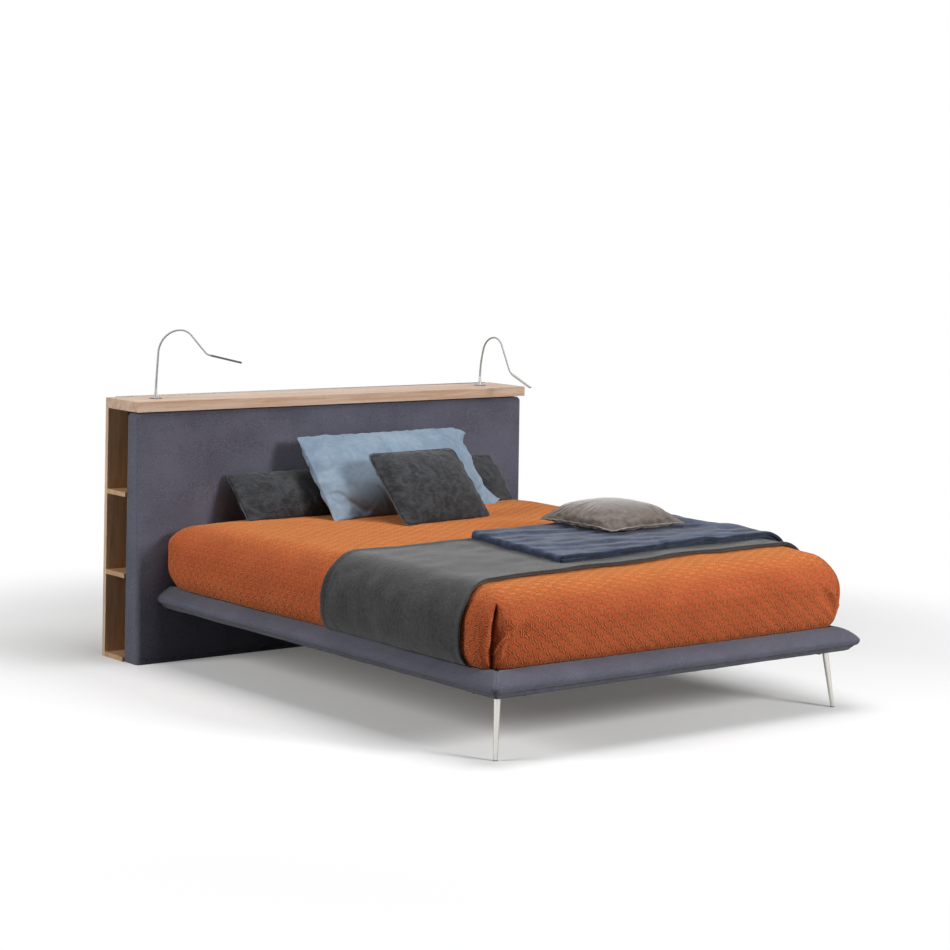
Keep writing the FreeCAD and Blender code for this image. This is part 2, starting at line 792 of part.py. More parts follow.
def bedding():
    mattress = block(-mattress_width / 2, mattress_width / 2, mattress_foot, mattress_head,
                     mattress_rest, mattress_top)
    middle = (mattress_rest + mattress_top) / 2
    mattress = rounded(mattress, mattress_corner_radius, lambda p: close_to(p.z, middle))
    rims = [edge for edge in mattress.Edges if close_to(edge.CenterOfMass.z, mattress_top)
            or close_to(edge.CenterOfMass.z, mattress_rest)]
    mattress = mattress.makeChamfer(mattress_edge_bevel, rims)
    spread = soft_block(spread_half, spread_end, spread_head, spread_bottom, spread_top,
                        spread_corner_radius, spread_top_radius, spread_hem_radius)
    room_half = mattress_width / 2 + seat_gap
    room_foot = mattress_foot - seat_gap
    room = block(-room_half, room_half, room_foot, 0, spread_bottom - 1, mattress_top + seat_gap)
    room = rounded(room, mattress_corner_radius,
                   lambda p: close_to(p.y, room_foot) and room_half - abs(p.x) < 1 and p.z > spread_bottom)
    spread = spread.cut(room)

    side = spread_half + 2 * (throw_thickness + blanket_thickness)
    throw_outer = seat_gap + throw_thickness
    hem = spread_bottom + throw_hem_gap
    throw = laid_cloth(
        wrap_face(seat_gap, throw_outer, 0, 0, hem, hem),
        [(-side, -throw_head), (side, -throw_head), (side, -throw_foot_right),
         (-blanket_left, -throw_foot_middle), (-side, -throw_foot_left)])
    blanket_inner = throw_outer + seat_gap
    blanket_outer = blanket_inner + blanket_thickness
    blanket = laid_cloth(
        wrap_face(blanket_inner, blanket_outer, -blanket_left, 0, None, spread_top - blanket_side_drop),
        [(-side, -throw_head), (side, -throw_head), (side, -blanket_foot_right), (-side, -blanket_foot_left)])

    parts = {"mattress": mattress, "bedspread": spread, "throw": throw, "folded_blanket": blanket}
    panel = panel_envelope()
    specs = leaning_cushions
    left = leaning_cushion(specs["cushion_grey_left"], [panel], spread_top)
    right = leaning_cushion(specs["cushion_grey_right"], [panel], spread_top)
    pillow = leaning_cushion(specs["pillow_blue"], [panel, left, right], spread_top)
    front = leaning_cushion(specs["cushion_grey_front"], [pillow, left, right], spread_top)
    parts.update({"cushion_grey_left": left, "cushion_grey_right": right, "pillow_blue": pillow,
                  "cushion_grey_front": front})
    brown = cushion(*brown_size)
    brown.rotate(V(0, 0, 0), V(1, 0, 0), 90)
    brown.rotate(V(0, 0, 0), UP, brown_turn)
    brown.translate(V(brown_place[0], brown_place[1], case_height))
    parts["cushion_brown"] = slide_to(brown, [blanket], V(0, 0, -1))
    return parts


parts = {}
parts.update(bookcase())
parts.update(padded_panel())
parts.update(rails())
parts.update(sleeping_base())
parts.update(headboard_joint())
parts.update(legs())
fixed_pieces = {"flange": [], "sleeve": [], "nut": []}
for lamp_name, lamp_sizes in lamps.items():
    for piece_name, piece in reading_lamp(lamp_sizes).items():
        if piece_name in fixed_pieces:
            fixed_pieces[piece_name].append(piece)
        else:
            parts["lamp_" + lamp_name + "_" + piece_name] = piece
for piece_name, pair in fixed_pieces.items():
    parts["lamp_" + piece_name + "s"] = Part.makeCompound(pair)
parts.update(bedding())

os.makedirs("parts", exist_ok=True)
for node, shape in parts.items():
    shape.exportStep("parts/" + node + ".step")
    print(node, len(shape.Solids), "valid" if shape.isValid() else "NOT VALID", round(shape.Volume))
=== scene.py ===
import bmesh
import bpy
import math
import numpy as np
from mathutils import Matrix, Vector


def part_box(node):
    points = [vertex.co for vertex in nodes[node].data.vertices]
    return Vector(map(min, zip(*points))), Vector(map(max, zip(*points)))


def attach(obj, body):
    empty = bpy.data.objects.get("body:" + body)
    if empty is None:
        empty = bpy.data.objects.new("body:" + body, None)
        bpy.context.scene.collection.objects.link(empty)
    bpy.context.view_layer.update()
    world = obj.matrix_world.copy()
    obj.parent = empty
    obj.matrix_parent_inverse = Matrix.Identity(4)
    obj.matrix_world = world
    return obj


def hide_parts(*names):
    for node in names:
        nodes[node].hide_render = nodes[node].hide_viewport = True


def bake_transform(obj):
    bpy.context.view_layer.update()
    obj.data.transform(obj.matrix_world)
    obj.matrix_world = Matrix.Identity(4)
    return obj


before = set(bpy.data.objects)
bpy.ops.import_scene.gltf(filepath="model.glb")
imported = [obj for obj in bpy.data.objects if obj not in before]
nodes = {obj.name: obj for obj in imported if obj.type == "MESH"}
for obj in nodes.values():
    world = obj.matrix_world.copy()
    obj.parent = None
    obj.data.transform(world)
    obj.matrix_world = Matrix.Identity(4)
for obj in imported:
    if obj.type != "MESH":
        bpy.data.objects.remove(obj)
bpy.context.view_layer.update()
print("frame loaded:", len(nodes), "nodes")

# Lengths are metres. +X is to the right for someone at the foot, +Y points to the wall, +Z is up.

# Camera: where the photograph was taken from
view = {
    "place": (-6.0244, -8.4151, 1.8948),
    "yaw": 0.6742, "pitch": 0.0656, "roll": 0.0246,   # radians
    "lens": 95.61, "shiftX": 0.0159, "shiftY": -0.1344, "farClip": 200.0,
}


def addCamera():
    yaw, pitch, roll = view["yaw"], view["pitch"], view["roll"]
    ahead = Vector((math.sin(yaw) * math.cos(pitch), math.cos(yaw) * math.cos(pitch), -math.sin(pitch)))
    level = Vector((math.cos(yaw), -math.sin(yaw), 0))
    upright = level.cross(ahead)
    right = level * math.cos(roll) + upright * math.sin(roll)
    up = upright * math.cos(roll) - level * math.sin(roll)
    data = bpy.data.cameras.new("camera")
    data.lens, data.shift_x, data.shift_y = view["lens"], view["shiftX"], view["shiftY"]
    data.clip_end = view["farClip"]
    camera = bpy.data.objects.new("camera", data)
    turn = Matrix((right, up, -ahead)).transposed().to_4x4()
    camera.matrix_world = Matrix.Translation(view["place"]) @ turn
    bpy.context.scene.collection.objects.link(camera)
    bpy.context.scene.camera = camera


addCamera()
print("camera placed")


# Shader building: arithmetic on an Output adds Math nodes, and every other node comes from Builder.node
class Output:
    def __init__(self, builder, socket):
        self.builder, self.socket = builder, socket

    def math(self, operation, *others):
        inputs = dict(enumerate((self,) + others))
        return self.builder.node("ShaderNodeMath", {"operation": operation}, inputs)

    def __rsub__(self, other):
        return self.builder.node("ShaderNodeMath", {"operation": "SUBTRACT"}, {0: other, 1: self})

    __sub__ = lambda self, other: self.math("SUBTRACT", other)
    __truediv__ = lambda self, other: self.math("DIVIDE", other)
    __add__ = __radd__ = lambda self, other: self.math("ADD", other)
    __mul__ = __rmul__ = lambda self, other: self.math("MULTIPLY", other)


class Builder:
    def __init__(self, tree):
        self.tree = tree

    def node(self, kind, settings, inputs, output=0):
        made = self.tree.nodes.new(kind)
        for key, value in settings.items():
            setattr(made, key, value)
        for key, value in inputs.items():
            if isinstance(value, Output):
                self.tree.links.new(value.socket, made.inputs[key])
            else:
                made.inputs[key].default_value = paint(value) if isinstance(value, str) else value
        return Output(self, made.outputs[output])


class Finish(Builder):
    def __init__(self, name, **constants):
        self.material = bpy.data.materials.new(name)
        self.material.use_nodes = True
        super().__init__(self.material.node_tree)
        self.surface = self.tree.nodes["Principled BSDF"]
        for socket, value in constants.items():
            self.surface.inputs[socket.replace("_", " ")].default_value = value

    def feed(self, socket, value):
        self.tree.links.new(value.socket, self.surface.inputs[socket])

    def place(self, scale=(1, 1, 1), turn=(0, 0, 0)):
        here = self.node("ShaderNodeTexCoord", {}, {}, output=3)
        return self.node("ShaderNodeMapping", {}, {"Vector": here, "Scale": scale, "Rotation": turn})

    def cloth(self):
        return self.node("ShaderNodeUVMap", {"uv_map": "cloth"}, {})

    def noise(self, vector, scale, detail=3.0, rough=0.55, warp=0.0):
        inputs = {"Vector": vector, "Scale": scale, "Detail": detail, "Roughness": rough, "Distortion": warp}
        return self.node("ShaderNodeTexNoise", {}, inputs)

    def between(self, value, low, high, start=0.0, end=1.0):
        inputs = {"Value": value, "From Min": low, "From Max": high, "To Min": start, "To Max": end}
        return self.node("ShaderNodeMapRange", {"interpolation_type": "SMOOTHSTEP"}, inputs)

    def mixColours(self, share, first, second):
        return self.node("ShaderNodeMix", {"data_type": "RGBA"}, {0: share, 6: first, 7: second}, output=2)

    def axis(self, vector, which):
        return self.node("ShaderNodeSeparateXYZ", {}, {0: vector}, output=which)

    def done(self, colour, relief, distance, strength):
        self.feed("Base Color", colour)
        inputs = {"Height": relief, "Distance": distance, "Strength": strength}
        self.feed("Normal", self.node("ShaderNodeBump", {}, inputs))
        return self.material


def paint(code):
    # A colour code's channels, decoded to linear light
    parts = np.array([int(code[k:k + 2], 16) for k in (1, 3, 5)]) / 255
    linear = np.where(parts <= 0.04045, parts / 12.92, ((parts + 0.055) / 1.055) ** 2.4)
    return tuple(linear) + (1.0,)


# Upholstery weave: a melange of lighter and darker threads, crossed in two directions
weave = {"thread": 0.0016, "relief": 0.0006, "dark": "#3a3b48", "middle": "#515261", "light": "#6a6a7b"}


def upholsteryFinish(name):
    made = Finish(name, Roughness=0.92, Sheen_Weight=0.15, Sheen_Roughness=0.5)
    here = made.place()
    pitch = 2 * math.pi / weave["thread"]
    across = made.axis(here, 0) + made.axis(here, 1)
    crossing = (across * pitch).math("SINE") * (made.axis(here, 2) * pitch).math("SINE")
    flecks = made.noise(here, 300, 3, 0.75)
    clouds = made.noise(here, 5, 3, 0.5)
    tone = made.between(flecks * 0.75 + clouds * 0.25, 0.38, 0.62)
    base = made.mixColours(tone, weave["dark"], weave["light"])
    base = made.mixColours(0.2, base, weave["middle"])
    return made.done(base, crossing * 0.5 + flecks, weave["relief"], 0.8)


# Oak: long grain lines with short dark pores
oak = {"light": "#cbb39e", "dark": "#b39076", "pore": "#8b6848"}


def oakFinish(name, light, dark, grain):
    made = Finish(name, Specular_IOR_Level=0.35, Coat_Roughness=0.35, Coat_Weight=0.08)
    along = made.place(scale=grain)
    lines = made.noise(along, 9, 4, 0.6, 0.6)
    broad = made.noise(along, 2.2, 2, 0.5, 1.2)
    pores = made.noise(along, 60, 2, 0.6)
    tone = made.between(lines * 0.6 + broad * 0.4, 0.36, 0.66)
    poreMask = made.between(pores, 0.60, 0.70) * 0.45
    base = made.mixColours(poreMask, made.mixColours(tone, dark, light), oak["pore"])
    made.feed("Roughness", made.between(pores, 0.4, 0.7, 0.44, 0.60))
    return made.done(base, 1 - poreMask, 0.0003, 0.5)


# Embossed cotton of the bedspread: pairs of short raised bars, upright and slanting, on a fine ribbed ground
matelasse = {
    "colour": "#cf673c", "deep": "#983d22", "barHighlight": "#e38b5a", "litTopColour": "#dc8a44", "litTopShare": 0.56,
    "fibres": (1.0, 0.76, 0.28, 1.0),   # raised fibres catch a yellower light
    "cellWide": 0.068, "cellTall": 0.0445, "barHalf": 0.0034, "shadeReach": 0.0085, "relief": 0.0034,
    "rib": 0.0042, "onTopAcross": (0.66, 0.90), "onTopAlong": (-2.24, -2.02),
    # each pair of bars: place across and along, turn from upright in degrees, gap, length and height
    "pairs": (
        (0.0, 0.0, 0.0, 0.0070, 0.023, 0.85),
        (0.017, -0.0111, 42.0, 0.0085, 0.0145, 1.0),
        (0.017, 0.0111, -42.0, 0.0075, 0.0145, 0.80),
    ),
}


def matelasseFinish(name):
    cell = matelasse
    made = Finish(name, Roughness=0.9, Sheen_Weight=0.20, Sheen_Roughness=0.36, Sheen_Tint=cell["fibres"],
                  Specular_IOR_Level=0.1)
    flat = made.cloth()
    wander = made.noise(flat, 22, 2, 0.5) - 0.5
    across = made.axis(flat, 0) + wander * 0.003
    along = made.axis(flat, 1) + wander * 0.002
    bars, beside = [], []
    for shift in (0.0, 0.5):
        for placeX, placeY, turn, gap, length, tall in cell["pairs"]:
            # the distance to the nearest repeat of this pair, in the pair's own directions
            u = (across - placeX) / cell["cellWide"] - shift
            v = (along - placeY) / cell["cellTall"] - shift
            u = (u - u.math("ROUND")) * cell["cellWide"]
            v = (v - v.math("ROUND")) * cell["cellTall"]
            c, s = math.cos(math.radians(turn)), math.sin(math.radians(turn))
            side = ((u * c + v * s).math("ABSOLUTE") - gap / 2).math("ABSOLUTE")
            past = ((v * c - u * s).math("ABSOLUTE") - length / 2).math("MAXIMUM", 0.0)
            distance = (side * side + past * past).math("SQRT")
            bars.append(made.between(distance, 0.0006, cell["barHalf"], tall, 0.0))
            beside.append(made.between(distance, 0.001, cell["shadeReach"], tall, 0.0))
    height, near = bars[0], beside[0]
    for bar, edge in zip(bars[1:], beside[1:]):
        height, near = height.math("MAXIMUM", bar), near.math("MAXIMUM", edge)
    ribs = (along * (2 * math.pi / cell["rib"])).math("SINE") * 0.5 + 0.5
    threads = made.noise(flat, 900, 2, 0.6)
    strength = made.noise(flat, 12, 2, 0.5) + 0.5
    clouds = made.noise(flat, 7, 3, 0.55)
    base = made.mixColours(made.between(clouds, 0.3, 0.7), cell["deep"], cell["colour"])
    base = made.mixColours(0.65, base, cell["colour"])
    base = made.mixColours((1 - near) * 0.22, base, cell["deep"])
    # painted light: the top of the bed is coloured lighter and yellower than its sides, as if it were lit
    # more
    onTop = made.between(across.math("ABSOLUTE"), *cell["onTopAcross"], 1.0, 0.0)
    onTop = onTop * made.between(along, *cell["onTopAlong"])
    base = made.mixColours(onTop * cell["litTopShare"], base, cell["litTopColour"])
    # painted highlight: the raised bars are mixed towards a lighter colour
    base = made.mixColours(height * 0.55, base, cell["barHighlight"])
    # painted shade: the ground just beside each bar is darker, as in the shadow of the raised bars
    base = made.mixColours((near - height) * 0.8, base, cell["deep"])
    return made.done(base, height * strength + ribs * 0.08 + threads * 0.10, cell["relief"], 1.0)


# Wool of the throw: brushed melange
wool = {"dark": "#141515", "middle": "#272727", "light": "#4f4f4f"}


def woolFinish(name):
    made = Finish(name, Roughness=1.0, Sheen_Weight=0.22, Sheen_Roughness=0.45)
    here = made.cloth()
    fibres = made.noise(here, 260, 3, 0.8, 1.5)
    tufts = made.noise(here, 70, 3, 0.6, 0.8)
    clouds = made.noise(here, 9, 3, 0.5)
    tone = made.between(fibres * 0.5 + tufts * 0.3 + clouds * 0.2, 0.38, 0.64)
    base = made.mixColours(tone, wool["dark"], wool["light"])
    base = made.mixColours(0.35, base, wool["middle"])
    return made.done(base, fibres * 0.6 + tufts, 0.0022, 0.9)


# Velvet: brushed marks where the pile leans one way or the other
def velvetFinish(name, dark, middle, light, mark, sheen):
    made = Finish(name, Roughness=0.95, Sheen_Weight=sheen, Sheen_Roughness=0.35)
    here = made.place()
    brushed = made.noise(here, mark, 4, 0.62, 1.6)
    streaks = made.noise(made.place(scale=(1, 1, 3.2), turn=(0.4, 0.3, 0.5)), mark * 2.6, 3, 0.6, 0.8)
    pile = made.noise(here, 1400, 2, 0.6)
    tone = made.between(brushed * 0.6 + streaks * 0.4, 0.34, 0.66)
    base = made.mixColours(0.4, made.mixColours(tone, dark, light), middle)
    made.feed("Roughness", made.between(tone, 0.0, 1.0, 0.98, 0.82))
    return made.done(base, pile * 0.4 + streaks * 0.6, 0.0012, 0.6)


# Washed cotton of the pillow
cotton = {"dark": "#667b8f", "light": "#8698a8"}


def cottonFinish(name):
    made = Finish(name, Roughness=0.8, Sheen_Weight=0.15, Sheen_Roughness=0.4)
    here = made.place()
    creases = made.noise(here, 16, 4, 0.6, 2.0)
    threads = made.noise(here, 1500, 2, 0.6)
    washed = made.noise(here, 6, 3, 0.5)
    # the tone partly follows the crease noise that also shapes the bump, so the crease hollows are darker:
    # washed tone with painted shade in the creases
    tone = made.between(washed * 0.6 + creases * 0.4, 0.3, 0.7)
    base = made.mixColours(tone, cotton["dark"], cotton["light"])
    return made.done(base, threads * 0.15 + creases, 0.004, 0.22)


# Bare and painted metal: faint brushing along one axis
def metalFinish(name, colour, rough, metallic=1.0, brush=(1, 1, 60)):
    made = Finish(name, Metallic=metallic)
    lines = made.noise(made.place(scale=brush), 90, 2, 0.6)
    smudges = made.noise(made.place(), 14, 3, 0.5)
    made.feed("Roughness", made.between(lines * 0.7 + smudges * 0.3, 0.3, 0.7, rough - 0.05, rough + 0.08))
    return made.done(made.mixColours(smudges * 0.25, colour, "#9a9a9a"), lines, 0.0001, 0.3)


def plainFinish(name, colour, second, scale, rough, relief=0.0002):
    made = Finish(name)
    grain = made.noise(made.place(), scale, 3, 0.6)
    made.feed("Roughness", made.between(grain, 0.3, 0.7, rough - 0.05, rough + 0.05))
    return made.done(made.mixColours(made.between(grain, 0.3, 0.7), colour, second), grain, relief, 0.5)


finishes = {
    "panel": upholsteryFinish("panel_fabric"),
    "rail": upholsteryFinish("rail_fabric"),
    "oakTop": oakFinish("oak_top", oak["light"], oak["dark"], (0.35, 6, 6)),
    "oakCase": oakFinish("oak_case", "#d8bb9d", "#b8987a", (6, 6, 0.4)),
    "oakShelf": oakFinish("oak_shelf", "#c8a580", "#a8805a", (0.5, 7, 7)),
    "bedspread": matelasseFinish("orange_matelasse"),
    "wool": woolFinish("grey_wool"),
    "navy": velvetFinish("navy_velvet", "#10172a", "#1c273d", "#3c4a66", 9.0, 0.18),
    "brown": velvetFinish("brown_velvet", "#51463f", "#5e534c", "#786d66", 18.0, 0.85),
    "grey": velvetFinish("grey_velvet", "#141518", "#1d1e21", "#35373b", 17.0, 0.15),
    "cotton": cottonFinish("blue_cotton"),
    # the piping cords take lighter copies of their cushions' velvets: painted highlight along the cords
    "greyCord": velvetFinish("grey_velvet_cord", "#2b2c30", "#3d3e42", "#5a5c60", 14.0, 0.25),
    "brownCord": velvetFinish("brown_velvet_cord", "#5c5451", "#7a716c", "#a8a09b", 12.0, 0.4),
    "leg": metalFinish("satin_chrome", "#d8d5cf", 0.26),
    "legPlate": metalFinish("leg_plate", "#474653", 0.6, metallic=0.0),
    "zinc": metalFinish("zinc_steel", "#b9babc", 0.42, brush=(40, 40, 1)),
    "darkSteel": metalFinish("dark_steel", "#2a2a2c", 0.5, metallic=0.3),
    "strip": metalFinish("grey_trim", "#8b8c8d", 0.4, brush=(1, 40, 40)),
    "lampBase": metalFinish("lamp_base", "#5b5c5e", 0.35),
    "lampSleeve": metalFinish("lamp_sleeve", "#a4a4a4", 0.3),
    "sheath": metalFinish("lamp_sheath", "#908f8d", 0.42, metallic=0.35),
    "lampHead": metalFinish("lamp_head", "#3d3d3c", 0.38, metallic=0.6),
    "lampHeadRight": metalFinish("lamp_head_right", "#b0adaa", 0.4, metallic=0.4),
    "lampLight": plainFinish("lamp_light", "#f1f0ea", "#e6e5df", 60, 0.35),
    "rubber": plainFinish("cap_rubber", "#1d1d1f", "#262628", 300, 0.75),
    "glide": plainFinish("glide_plastic", "#4b4b4d", "#575759", 200, 0.55),
    "beech": oakFinish("beech_slat", "#dcb98a", "#c39c69", (0.5, 8, 8)),
    "plywood": oakFinish("plywood", "#cfb186", "#b2905f", (0.6, 5, 22)),
    "ticking": plainFinish("mattress_ticking", "#e9e7e0", "#dcd9d0", 500, 0.9, 0.0006),
}
nodeFinishes = {
    "oakTop": ("bookcase_top_board",),
    "oakCase": ("bookcase_back_board", "divider_left", "centre_upright", "divider_right"),
    "oakShelf": ("bookcase_base_board", "shelf_left_lower", "shelf_left_upper", "shelf_right_lower",
                 "shelf_right_upper"),
    "beech": ("bookcase_dowels", "slats_left", "slats_right"),
    "plywood": ("headboard_board", "rail_core_foot", "rail_core_head", "rail_core_left", "rail_core_right"),
    "zinc": ("bookcase_screws", "joint_plates", "joint_bolts", "lamp_nuts"),
    "darkSteel": ("corner_brackets", "bracket_bolts", "slat_ledge_left", "slat_ledge_right", "centre_beam",
                  "beam_saddles"),
    "strip": ("bookcase_cable_strip",), "rubber": ("slat_caps",), "leg": ("legs",),
    "legPlate": ("leg_plates",), "glide": ("leg_glides",), "lampBase": ("lamp_flanges",),
    "lampSleeve": ("lamp_sleeves",), "lampHead": ("lamp_left_head",), "lampHeadRight": ("lamp_right_head",),
    "lampLight": ("lamp_left_light", "lamp_right_light"),
}
for finishName, nodeNames in nodeFinishes.items():
    for nodeName in nodeNames:
        for holder in nodes[nodeName].material_slots:
            holder.material = finishes[finishName]
print("materials made:", len(finishes))


def smooth(value, low, high):
    # 0 below low, 1 above high, and an S-curve between them
    share = np.clip((value - low) / (high - low), 0, 1)
    return share * share * (3 - 2 * share)


def bell(away, reach):
    # 1 where away is 0, falling off on both sides
    return np.exp(-(away / reach) ** 2)


def points(*parts):
    # Places from their coordinates, which may be numbers or arrays that broadcast
    return np.stack(np.broadcast_arrays(*parts), -1)


def arcShare(*past):
    # What stands past a square edge or corner by these lengths is drawn in by this share onto its round
    reach = np.sqrt(sum(part ** 2 for part in past))
    return np.max(np.broadcast_arrays(*past), 0) / np.maximum(reach, 1e-9)


def waves(places, length, seed, count=9):
    # A sum of sine waves of about one length that run in random directions, between -1 and 1
    draw = np.random.default_rng(seed)
    ways = draw.normal(size=(count, 3))
    ways /= np.linalg.norm(ways, axis=1)[:, None]
    turns = 2 * math.pi / (length * draw.uniform(0.7, 1.4, count))
    starts = draw.uniform(0, 2 * math.pi, count)
    return np.sin((places @ ways.T) * turns + starts).sum(-1) / math.sqrt(count) / 1.5


def spaced(*stops):
    # Places from the first stop to the last; each later stop is (place, largest step)
    runs = [np.array([stops[0]])]
    for place, step in stops[1:]:
        start = runs[-1][-1]
        count = max(1, math.ceil(abs(place - start) / step))
        runs.append(np.linspace(start, place, count + 1)[1:])
    return np.concatenate(runs)


def addPiece(name, grids, finish, flats=None):
    # Each grid's cells become quads; equal places are welded; flats give each grid's place on the flat cloth
    corners, quads, flatCorners, start = [], [], [], 0
    for k, grid in enumerate(grids):
        rows, columns = grid.shape[:2]
        index = np.arange(rows * columns).reshape(rows, columns) + start
        cells = np.stack([index[:-1, :-1], index[1:, :-1], index[1:, 1:], index[:-1, 1:]], -1).reshape(-1, 4)
        corners.append(grid.reshape(-1, 3))
        quads.append(cells)
        if flats is not None:
            flatCorners.append(flats[k].reshape(-1, 2)[(cells - start).ravel()])
        start += rows * columns
    corners, quads = np.concatenate(corners), np.concatenate(quads)
    mesh = bpy.data.meshes.new(name)
    mesh.vertices.add(len(corners))
    mesh.vertices.foreach_set("co", corners.astype(np.float32).ravel())
    mesh.loops.add(quads.size)
    mesh.loops.foreach_set("vertex_index", quads.astype(np.int32).ravel())
    mesh.polygons.add(len(quads))
    mesh.polygons.foreach_set("loop_start", np.arange(0, quads.size, 4, dtype=np.int32))
    mesh.update(calc_edges=True)
    if flats is not None:
        layer = mesh.uv_layers.new(name="cloth")
        layer.data.foreach_set("uv", np.concatenate(flatCorners).astype(np.float32).ravel())
    shell = bmesh.new()
    shell.from_mesh(mesh)
    bmesh.ops.remove_doubles(shell, verts=shell.verts, dist=1e-6)
    bmesh.ops.recalc_face_normals(shell, faces=shell.faces)
    shell.to_mesh(mesh)
    shell.free()
    mesh.polygons.foreach_set("use_smooth", np.ones(len(mesh.polygons), bool))
    mesh.materials.append(finish)
    piece = bpy.data.objects.new(name, mesh)
    bpy.context.scene.collection.objects.link(piece)
    return piece


def soften(piece):
    rounds = piece.modifiers.new("soft", "SUBSURF")
    rounds.levels = rounds.render_levels = 1
    return piece


def boxSides(xs, ys, zs, names):
    # The named faces of a box as grids of places, wound so that each faces outwards
    depths, xs, ys, zs = ys, xs[:, None], ys[:, None], zs[None]
    faces = {
        "top": points(xs, depths, zs[0, -1]), "bottom": points(xs, depths, zs[0, 0])[::-1],
        "right": points(xs[-1], ys, zs), "left": points(xs[0], ys, zs)[::-1],
        "front": points(xs, depths[0], zs), "rear": points(xs, depths[-1], zs)[::-1],
    }
    return [faces[name] for name in names]


# Padded panel
panel = {
    "half": 0.9585, "footFront": -0.129, "topFront": -0.109, "rear": -0.035, "top": 0.975, "thick": 0.09,
    "round": 0.018, "swell": 0.003, "ripple": 0.0006, "boardInset": 0.014, "boardDepth": 0.022,
    "hem": 0.015, "hemOut": 0.0016, "hemHalf": 0.0022,   # the hem's roll: its height and its size
}


def panelForm(p):
    # The front leans back with height; its side and top edges are quarter rounds; the face swells a little
    x, y, z = np.moveaxis(p, -1, 0)
    half, top, r, thick = (panel[key] for key in ("half", "top", "round", "thick"))
    out = np.clip(-y, 0, None)                       # 1 at the front face, 0 at the rear
    edge, over, depth = half - np.abs(x), top - z, (1 - out) * thick
    across, above, ahead = (np.clip(r - gap, 0, None) for gap in (edge, over, depth))
    share = arcShare(across, above, ahead)
    x = np.where(across > 0, np.sign(x) * (half - r + across * share), x)
    z = np.where(above > 0, top - r + above * share, z)
    behind = r - np.where(ahead > 0, ahead * share, r - depth)
    front = panel["footFront"] + (panel["topFront"] - panel["footFront"]) * z / top
    slope = (panel["rear"] - front) / thick
    inside = smooth(edge, 0.0, 0.12) * smooth(over, 0.0, 0.12) * smooth(z, 0.0, 0.08) * out
    hem = panel["hemOut"] * bell(z - panel["hem"], panel["hemHalf"]) * (out > 0.5)
    place = points(x, front + behind * slope - panel["swell"] * inside + hem, z)
    place[..., 1] -= waves(place * (1, 1, 0.5), 0.16, 3) * panel["ripple"] * inside
    return place


def addPanel():
    half, top, inset = panel["half"], panel["top"], panel["boardInset"]
    xs = spaced(-half, (-0.935, 0.002), (0.935, 0.012), (half, 0.002))
    ys = np.concatenate([np.linspace(-1, -0.78, 12), np.linspace(-0.70, 0, 6)])
    zs = spaced(0.0, (0.03, 0.0015), (0.95, 0.012), (top, 0.002))
    shell = [panelForm(side) for side in boxSides(xs, ys, zs, ("front", "left", "right", "top", "bottom"))]
    deep, rear = panel["rear"] - panel["boardDepth"], panelForm(np.array([[[half, 0.0, 0.5]]]))[0, 0, 1]

    def ring(x, low, high, y):
        # a rectangle run round once, at one depth
        return points((-x, x, x, -x, -x), y, (low, low, high, high, low))

    board = (half - inset, inset, top - inset)
    recess = np.stack([ring(*board, deep), ring(*board, rear)])
    floor = points((inset - half, half - inset), deep, ((inset,), (top - inset,)))
    rim = np.stack([ring(*board, rear), ring(half, 0.0, top, rear)])
    piece = addPiece("panel_upholstery", shell + [recess, floor, rim], finishes["panel"])
    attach(piece, "bed_frame")
    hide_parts("headboard_upholstery")


addPanel()
print("panel upholstered")


# Padded rails: a teardrop section with a rounded tip, mitred at the foot corners
rail = {
    "innerX": 0.805, "innerY": -2.1252, "head": -0.1205,
    # section round the outside, out from the inner face and up from the floor
    "section": ((0.0, 0.298), (0.010, 0.2955), (0.026, 0.2885), (0.042, 0.279), (0.053, 0.2705),
                (0.0605, 0.2625), (0.0645, 0.2545), (0.0635, 0.246), (0.0575, 0.2375), (0.048, 0.2315),
                (0.040, 0.2235), (0.029, 0.2145), (0.012, 0.2112), (0.0, 0.210)),
    "inner": ((0.0, 0.232), (0.0, 0.254), (0.0, 0.276)), "middle": (0.03, 0.254),
    # at the foot the cover also runs in under the bedspread's hem
    "lip": ((-0.026, 0.2955), (-0.012, 0.2976)), "underHem": ((0.0, 0.288), (-0.026, 0.288)),
    "seamHeight": 0.2335, "seamDepth": 0.0016, "seamHalf": 0.0022, "cornerRound": 0.014,
}


def smoothSection(places, count):
    # Places along a Catmull-Rom curve through the given ones, evenly shared between them
    p = np.array(places, float)
    padded = np.vstack([2 * p[0] - p[1], p, 2 * p[-1] - p[-2]])
    spot = np.linspace(0, len(p) - 1 - 1e-9, count)
    k = spot.astype(int)
    t = (spot - k)[:, None]
    a, b, c, d = padded[k], padded[k + 1], padded[k + 2], padded[k + 3]
    curved = (2 * a - 5 * b + 4 * c - d) * t ** 2 + (3 * b - a - 3 * c + d) * t ** 3
    return 0.5 * (2 * b + (c - a) * t + curved)


def roundCorners(place, out):
    # In plan, the outer part of each foot corner is pulled from the sharp mitre onto an arc
    r = rail["cornerRound"] * smooth(out, 0.030, 0.060)
    overX = np.abs(place[..., 0]) - (rail["innerX"] + out - r)
    overY = (rail["innerY"] - out + r) - place[..., 1]
    shift = np.where((overX > 0) & (overY > 0), 1 - arcShare(overX, overY), 0.0)
    return place - points(np.sign(place[..., 0]) * overX * shift, -overY * shift, 0.0)


def endCaps(tube, middles):
    # Each end of a tube as a grid from its loop to its middle
    return [np.stack([tube[end], np.broadcast_to(middles[end], tube[end].shape)]) for end in (0, -1)]


